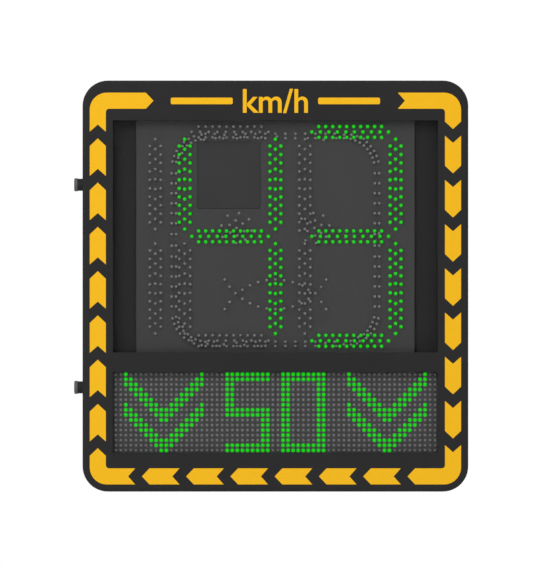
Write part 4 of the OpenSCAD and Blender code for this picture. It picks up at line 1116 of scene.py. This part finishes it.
def dome(radius, base_y, tip_y, round_depth):
    """One lamp about the Y axis: a straight wall, and a round tip that looks to -Y."""
    bm = bmesh.new()
    shoulder_y = tip_y + round_depth
    outline = [(radius, base_y), (radius, shoulder_y)]
    outline += [
        (radius * math.cos(math.radians(a)), shoulder_y - round_depth * math.sin(math.radians(a)))
        for a in (30, 60, 90)
    ]
    points = [bm.verts.new((r, y, 0.0)) for r, y in outline]
    edges = [bm.edges.new(pair) for pair in zip(points, points[1:])]
    spin_round(bm, points, edges, (0.0, 1.0, 0.0), SPIN_STEPS)
    bmesh.ops.holes_fill(bm, edges=[edge for edge in bm.edges if edge.is_boundary], sides=SPIN_STEPS)
    bmesh.ops.recalc_face_normals(bm, faces=bm.faces)
    # Middle faces take slot 0, which is the lamp's glow or, when unlit, the painted reflection of the cup.
    # The rest take the rim's finish.
    for face in bm.faces:
        middle = face.calc_center_median()
        in_middle = math.hypot(middle.x, middle.z) < MIDDLE_SHARE * radius
        face.material_index = 0 if in_middle and middle.y < shoulder_y else 1
        face.smooth = True
    return as_mesh(bm, "one_lamp")


def lamp_field(name, node, slot, radius, round_depth, finishes):
    """One dome in the place of each lamp of a node."""
    low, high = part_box(node)
    one = dome(radius, high.y, low.y, round_depth)
    bm = bmesh.new()
    lamps = loose_parts(node)
    for corner, opposite in lamps:
        middle = (corner + opposite) / 2
        add_copy(bm, one, Matrix.Translation((middle.x, 0.0, middle.z)))
    piece = keep_mesh(name, bm, "door", slot, *finishes)
    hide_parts(node)
    print(name, "has", len(lamps), "lamps")


lit = (lit_lens, lit_rim)
# Unlit domes carry a painted reflection of the cup in the middle and painted refraction of the board on the
# rim.
clear = (unlit_lens_painted_cup, unlit_rim_painted_board)
dim = (dim_lens_painted_cup, unlit_rim_painted_board)
lamp_field("lit_digit_domes", "lit_digit_lamps", "lamp_lit", LIT_RADIUS, DIGIT_TIP, lit)
lamp_field("unlit_digit_domes", "unlit_digit_lamps", "lamp_unlit", UNLIT_RADIUS, DIGIT_TIP, clear)
lamp_field("icon_domes", "face_lamps", "lamp_unlit", UNLIT_RADIUS, DIGIT_TIP, clear)
lamp_field("lit_matrix_domes", "lit_matrix_lamps", "lamp_lit", LIT_MATRIX_RADIUS, MATRIX_TIP, lit)
lamp_field("unlit_matrix_domes", "unlit_matrix_lamps", "lamp_unlit", UNLIT_RADIUS, MATRIX_TIP, dim)

# %% [markdown]
# ## Header of film
# The film above the upper window gives the unit of the number, with a bar on each side. The letters are a
# text object, made a mesh before it is moved, so that its place is in the mesh.

# %% Unit and bars
FILM_BACK = -160.0 * MM
FILM_FRONT = -160.4 * MM
FILM_DEPTH = FILM_BACK - FILM_FRONT
FILM_MIDDLE = (FILM_BACK + FILM_FRONT) / 2
HEADER_Z = 364.5 * MM
UNIT_HEIGHT = 48 * MM
STROKE_SPREAD = 0.012


def film_text(unit, height, z):
    """Letters cut from film, centred over the sign, and how wide they are."""
    curve = bpy.data.curves.new("unit_text", "FONT")
    curve.body = unit
    curve.align_x = "CENTER"
    curve.extrude = 0.5
    curve.offset = STROKE_SPREAD
    maker = bpy.data.objects.new("unit_text", curve)
    bpy.context.scene.collection.objects.link(maker)
    bpy.context.view_layer.update()
    mesh = bpy.data.meshes.new_from_object(maker.evaluated_get(bpy.context.evaluated_depsgraph_get()))
    bpy.data.objects.remove(maker)
    xs = [v.co.x for v in mesh.vertices]
    ys = [v.co.y for v in mesh.vertices]
    size = height / (max(ys) - min(ys))
    bm = bmesh.new()
    bm.from_mesh(mesh)
    bmesh.ops.translate(bm, vec=(-(min(xs) + max(xs)) / 2, -(min(ys) + max(ys)) / 2, 0.0), verts=bm.verts)
    bmesh.ops.scale(bm, vec=(size, size, FILM_DEPTH), verts=bm.verts)
    bmesh.ops.rotate(bm, cent=(0, 0, 0), matrix=Matrix.Rotation(math.pi / 2, 3, "X"), verts=bm.verts)
    bmesh.ops.translate(bm, vec=(0.0, FILM_MIDDLE, z), verts=bm.verts)
    return bm, (max(xs) - min(xs)) * size


header, unit_width = film_text("km/h", UNIT_HEIGHT, HEADER_Z)
keep_mesh("unit_film", header, "door", "arrow_film", amber_film, smooth=False)
print("The unit is", round(unit_width / MM), "mm wide")

BAR_OUTER = 206 * MM
BAR_GAP = 20 * MM
BAR_HEIGHT = 13 * MM
BAR_CORNER = 3 * MM
bar_inner = unit_width / 2 + BAR_GAP
bar_size = Vector((BAR_OUTER - bar_inner, FILM_DEPTH, BAR_HEIGHT))
for side, name in ((-1, "header_bar_left"), (1, "header_bar_right")):
    bm = plain_box(bar_size, Vector((side * (BAR_OUTER + bar_inner) / 2, FILM_MIDDLE, HEADER_Z)))
    through = [e for e in bm.edges if abs((e.verts[0].co - e.verts[1].co).normalized().y) > 0.9]
    bevel(bm, through, BAR_CORNER, BEND_STEPS)
    keep_mesh(name, bm, "door", "arrow_film", amber_film, smooth=False)

# %% [markdown]
# ## Stage, camera and light
# The photograph looks straight at the sign, from far away, on white. A long lens does the same. The world is
# white to the camera and in reflections, and a softer grey where it lights the sign. Two large lamps above
# give the edges their form.

# %% Floor
FLOOR_Z = -0.75
FLOOR_RADIUS = 2.6
FLOOR_STEPS = 96
FADE_FROM = 0.9
FADE_TO = 2.4
WHITE = linear("#ffffff")
bm = bmesh.new()
bmesh.ops.create_circle(bm, cap_ends=True, segments=FLOOR_STEPS, radius=FLOOR_RADIUS)
bmesh.ops.translate(bm, vec=(0.0, 0.0, FLOOR_Z), verts=bm.verts)
floor = bpy.data.objects.new("floor", as_mesh(bm, "floor"))
bpy.context.scene.collection.objects.link(floor)
floor_paint, tree, shader, place = start_finish("floor_paint", 0.9, Specular_IOR_Level=0.0)
shader.inputs["Base Color"].default_value = linear("#f4f4f4")
from_sign = add(tree, "ShaderNodeVectorMath", {0: place, 1: (0.0, 0.0, FLOOR_Z)}, operation="DISTANCE")
fade = add(
    tree,
    "ShaderNodeMapRange",
    {"Value": from_sign.outputs["Value"], "From Min": FADE_FROM, "From Max": FADE_TO},
    interpolation_type="SMOOTHSTEP",
)
to_camera = add(tree, "ShaderNodeLightPath").outputs["Is Camera Ray"]
share = add(tree, "ShaderNodeMath", {0: fade.outputs["Result"], 1: to_camera}, operation="MULTIPLY")
glow = add(tree, "ShaderNodeEmission", {"Color": WHITE})
blend = add(
    tree,
    "ShaderNodeMixShader",
    {0: share.outputs[0], 1: shader.outputs["BSDF"], 2: glow.outputs[0]},
)
output = next(node for node in tree.nodes if node.type == "OUTPUT_MATERIAL")
tree.links.new(blend.outputs[0], output.inputs["Surface"])
paint(floor, floor_paint)

# %% World
WORLD_LIGHT = 0.7
world = bpy.data.worlds.new("studio")
bpy.context.scene.world = world
world.use_nodes = True
tree = world.node_tree
tree.nodes.clear()
path = add(tree, "ShaderNodeLightPath")
direct = add(
    tree,
    "ShaderNodeMath",
    {0: path.outputs["Is Camera Ray"], 1: path.outputs["Is Glossy Ray"]},
    operation="MAXIMUM",
)
seen = add(
    tree,
    "ShaderNodeMath",
    {0: direct.outputs[0], 1: path.outputs["Is Transmission Ray"]},
    operation="MAXIMUM",
)
lighting = add(tree, "ShaderNodeBackground", {"Color": WHITE, "Strength": WORLD_LIGHT})
backdrop = add(tree, "ShaderNodeBackground", {"Color": WHITE, "Strength": 1.0})
choice = add(
    tree,
    "ShaderNodeMixShader",
    {0: seen.outputs[0], 1: lighting.outputs[0], 2: backdrop.outputs[0]},
)
add(tree, "ShaderNodeOutputWorld", {"Surface": choice.outputs[0]})


# %% Lamps of the studio
def softbox(name, place, width, watts):
    """A square lamp that looks at the middle of the sign."""
    light = bpy.data.lights.new(name, "AREA")
    light.shape = "SQUARE"
    light.size = width
    light.energy = watts
    lamp = bpy.data.objects.new(name, light)
    bpy.context.scene.collection.objects.link(lamp)
    lamp.location = place
    lamp.rotation_euler = (-Vector(place)).to_track_quat("-Z", "Y").to_euler()


softbox("key_light", (-1.6, -3.2, 2.4), 2.0, 60)
softbox("fill_light", (2.2, 2.6, 2.0), 2.0, 40)

# %% Camera
PICTURE_WIDTH_PX = 551
PIXEL_SIZE = 1.9686 * MM
CAMERA_X = 0.2 * MM
CAMERA_Z = 3.1 * MM
CAMERA_DISTANCE = 9.0
SEEN_DISTANCE = 60.0
SENSOR = 36.0
view = bpy.data.cameras.new("camera")
view.sensor_fit = "HORIZONTAL"
view.sensor_width = SENSOR
view.lens = SENSOR * CAMERA_DISTANCE / (PICTURE_WIDTH_PX * PIXEL_SIZE)
view.clip_end = SEEN_DISTANCE
camera = bpy.data.objects.new("camera", view)
bpy.context.scene.collection.objects.link(camera)
camera.location = (CAMERA_X, cad_box[0][1] - CAMERA_DISTANCE, CAMERA_Z)
camera.rotation_euler = (math.pi / 2, 0.0, 0.0)
bpy.context.scene.camera = camera
bpy.context.scene.view_settings.view_transform = "Standard"
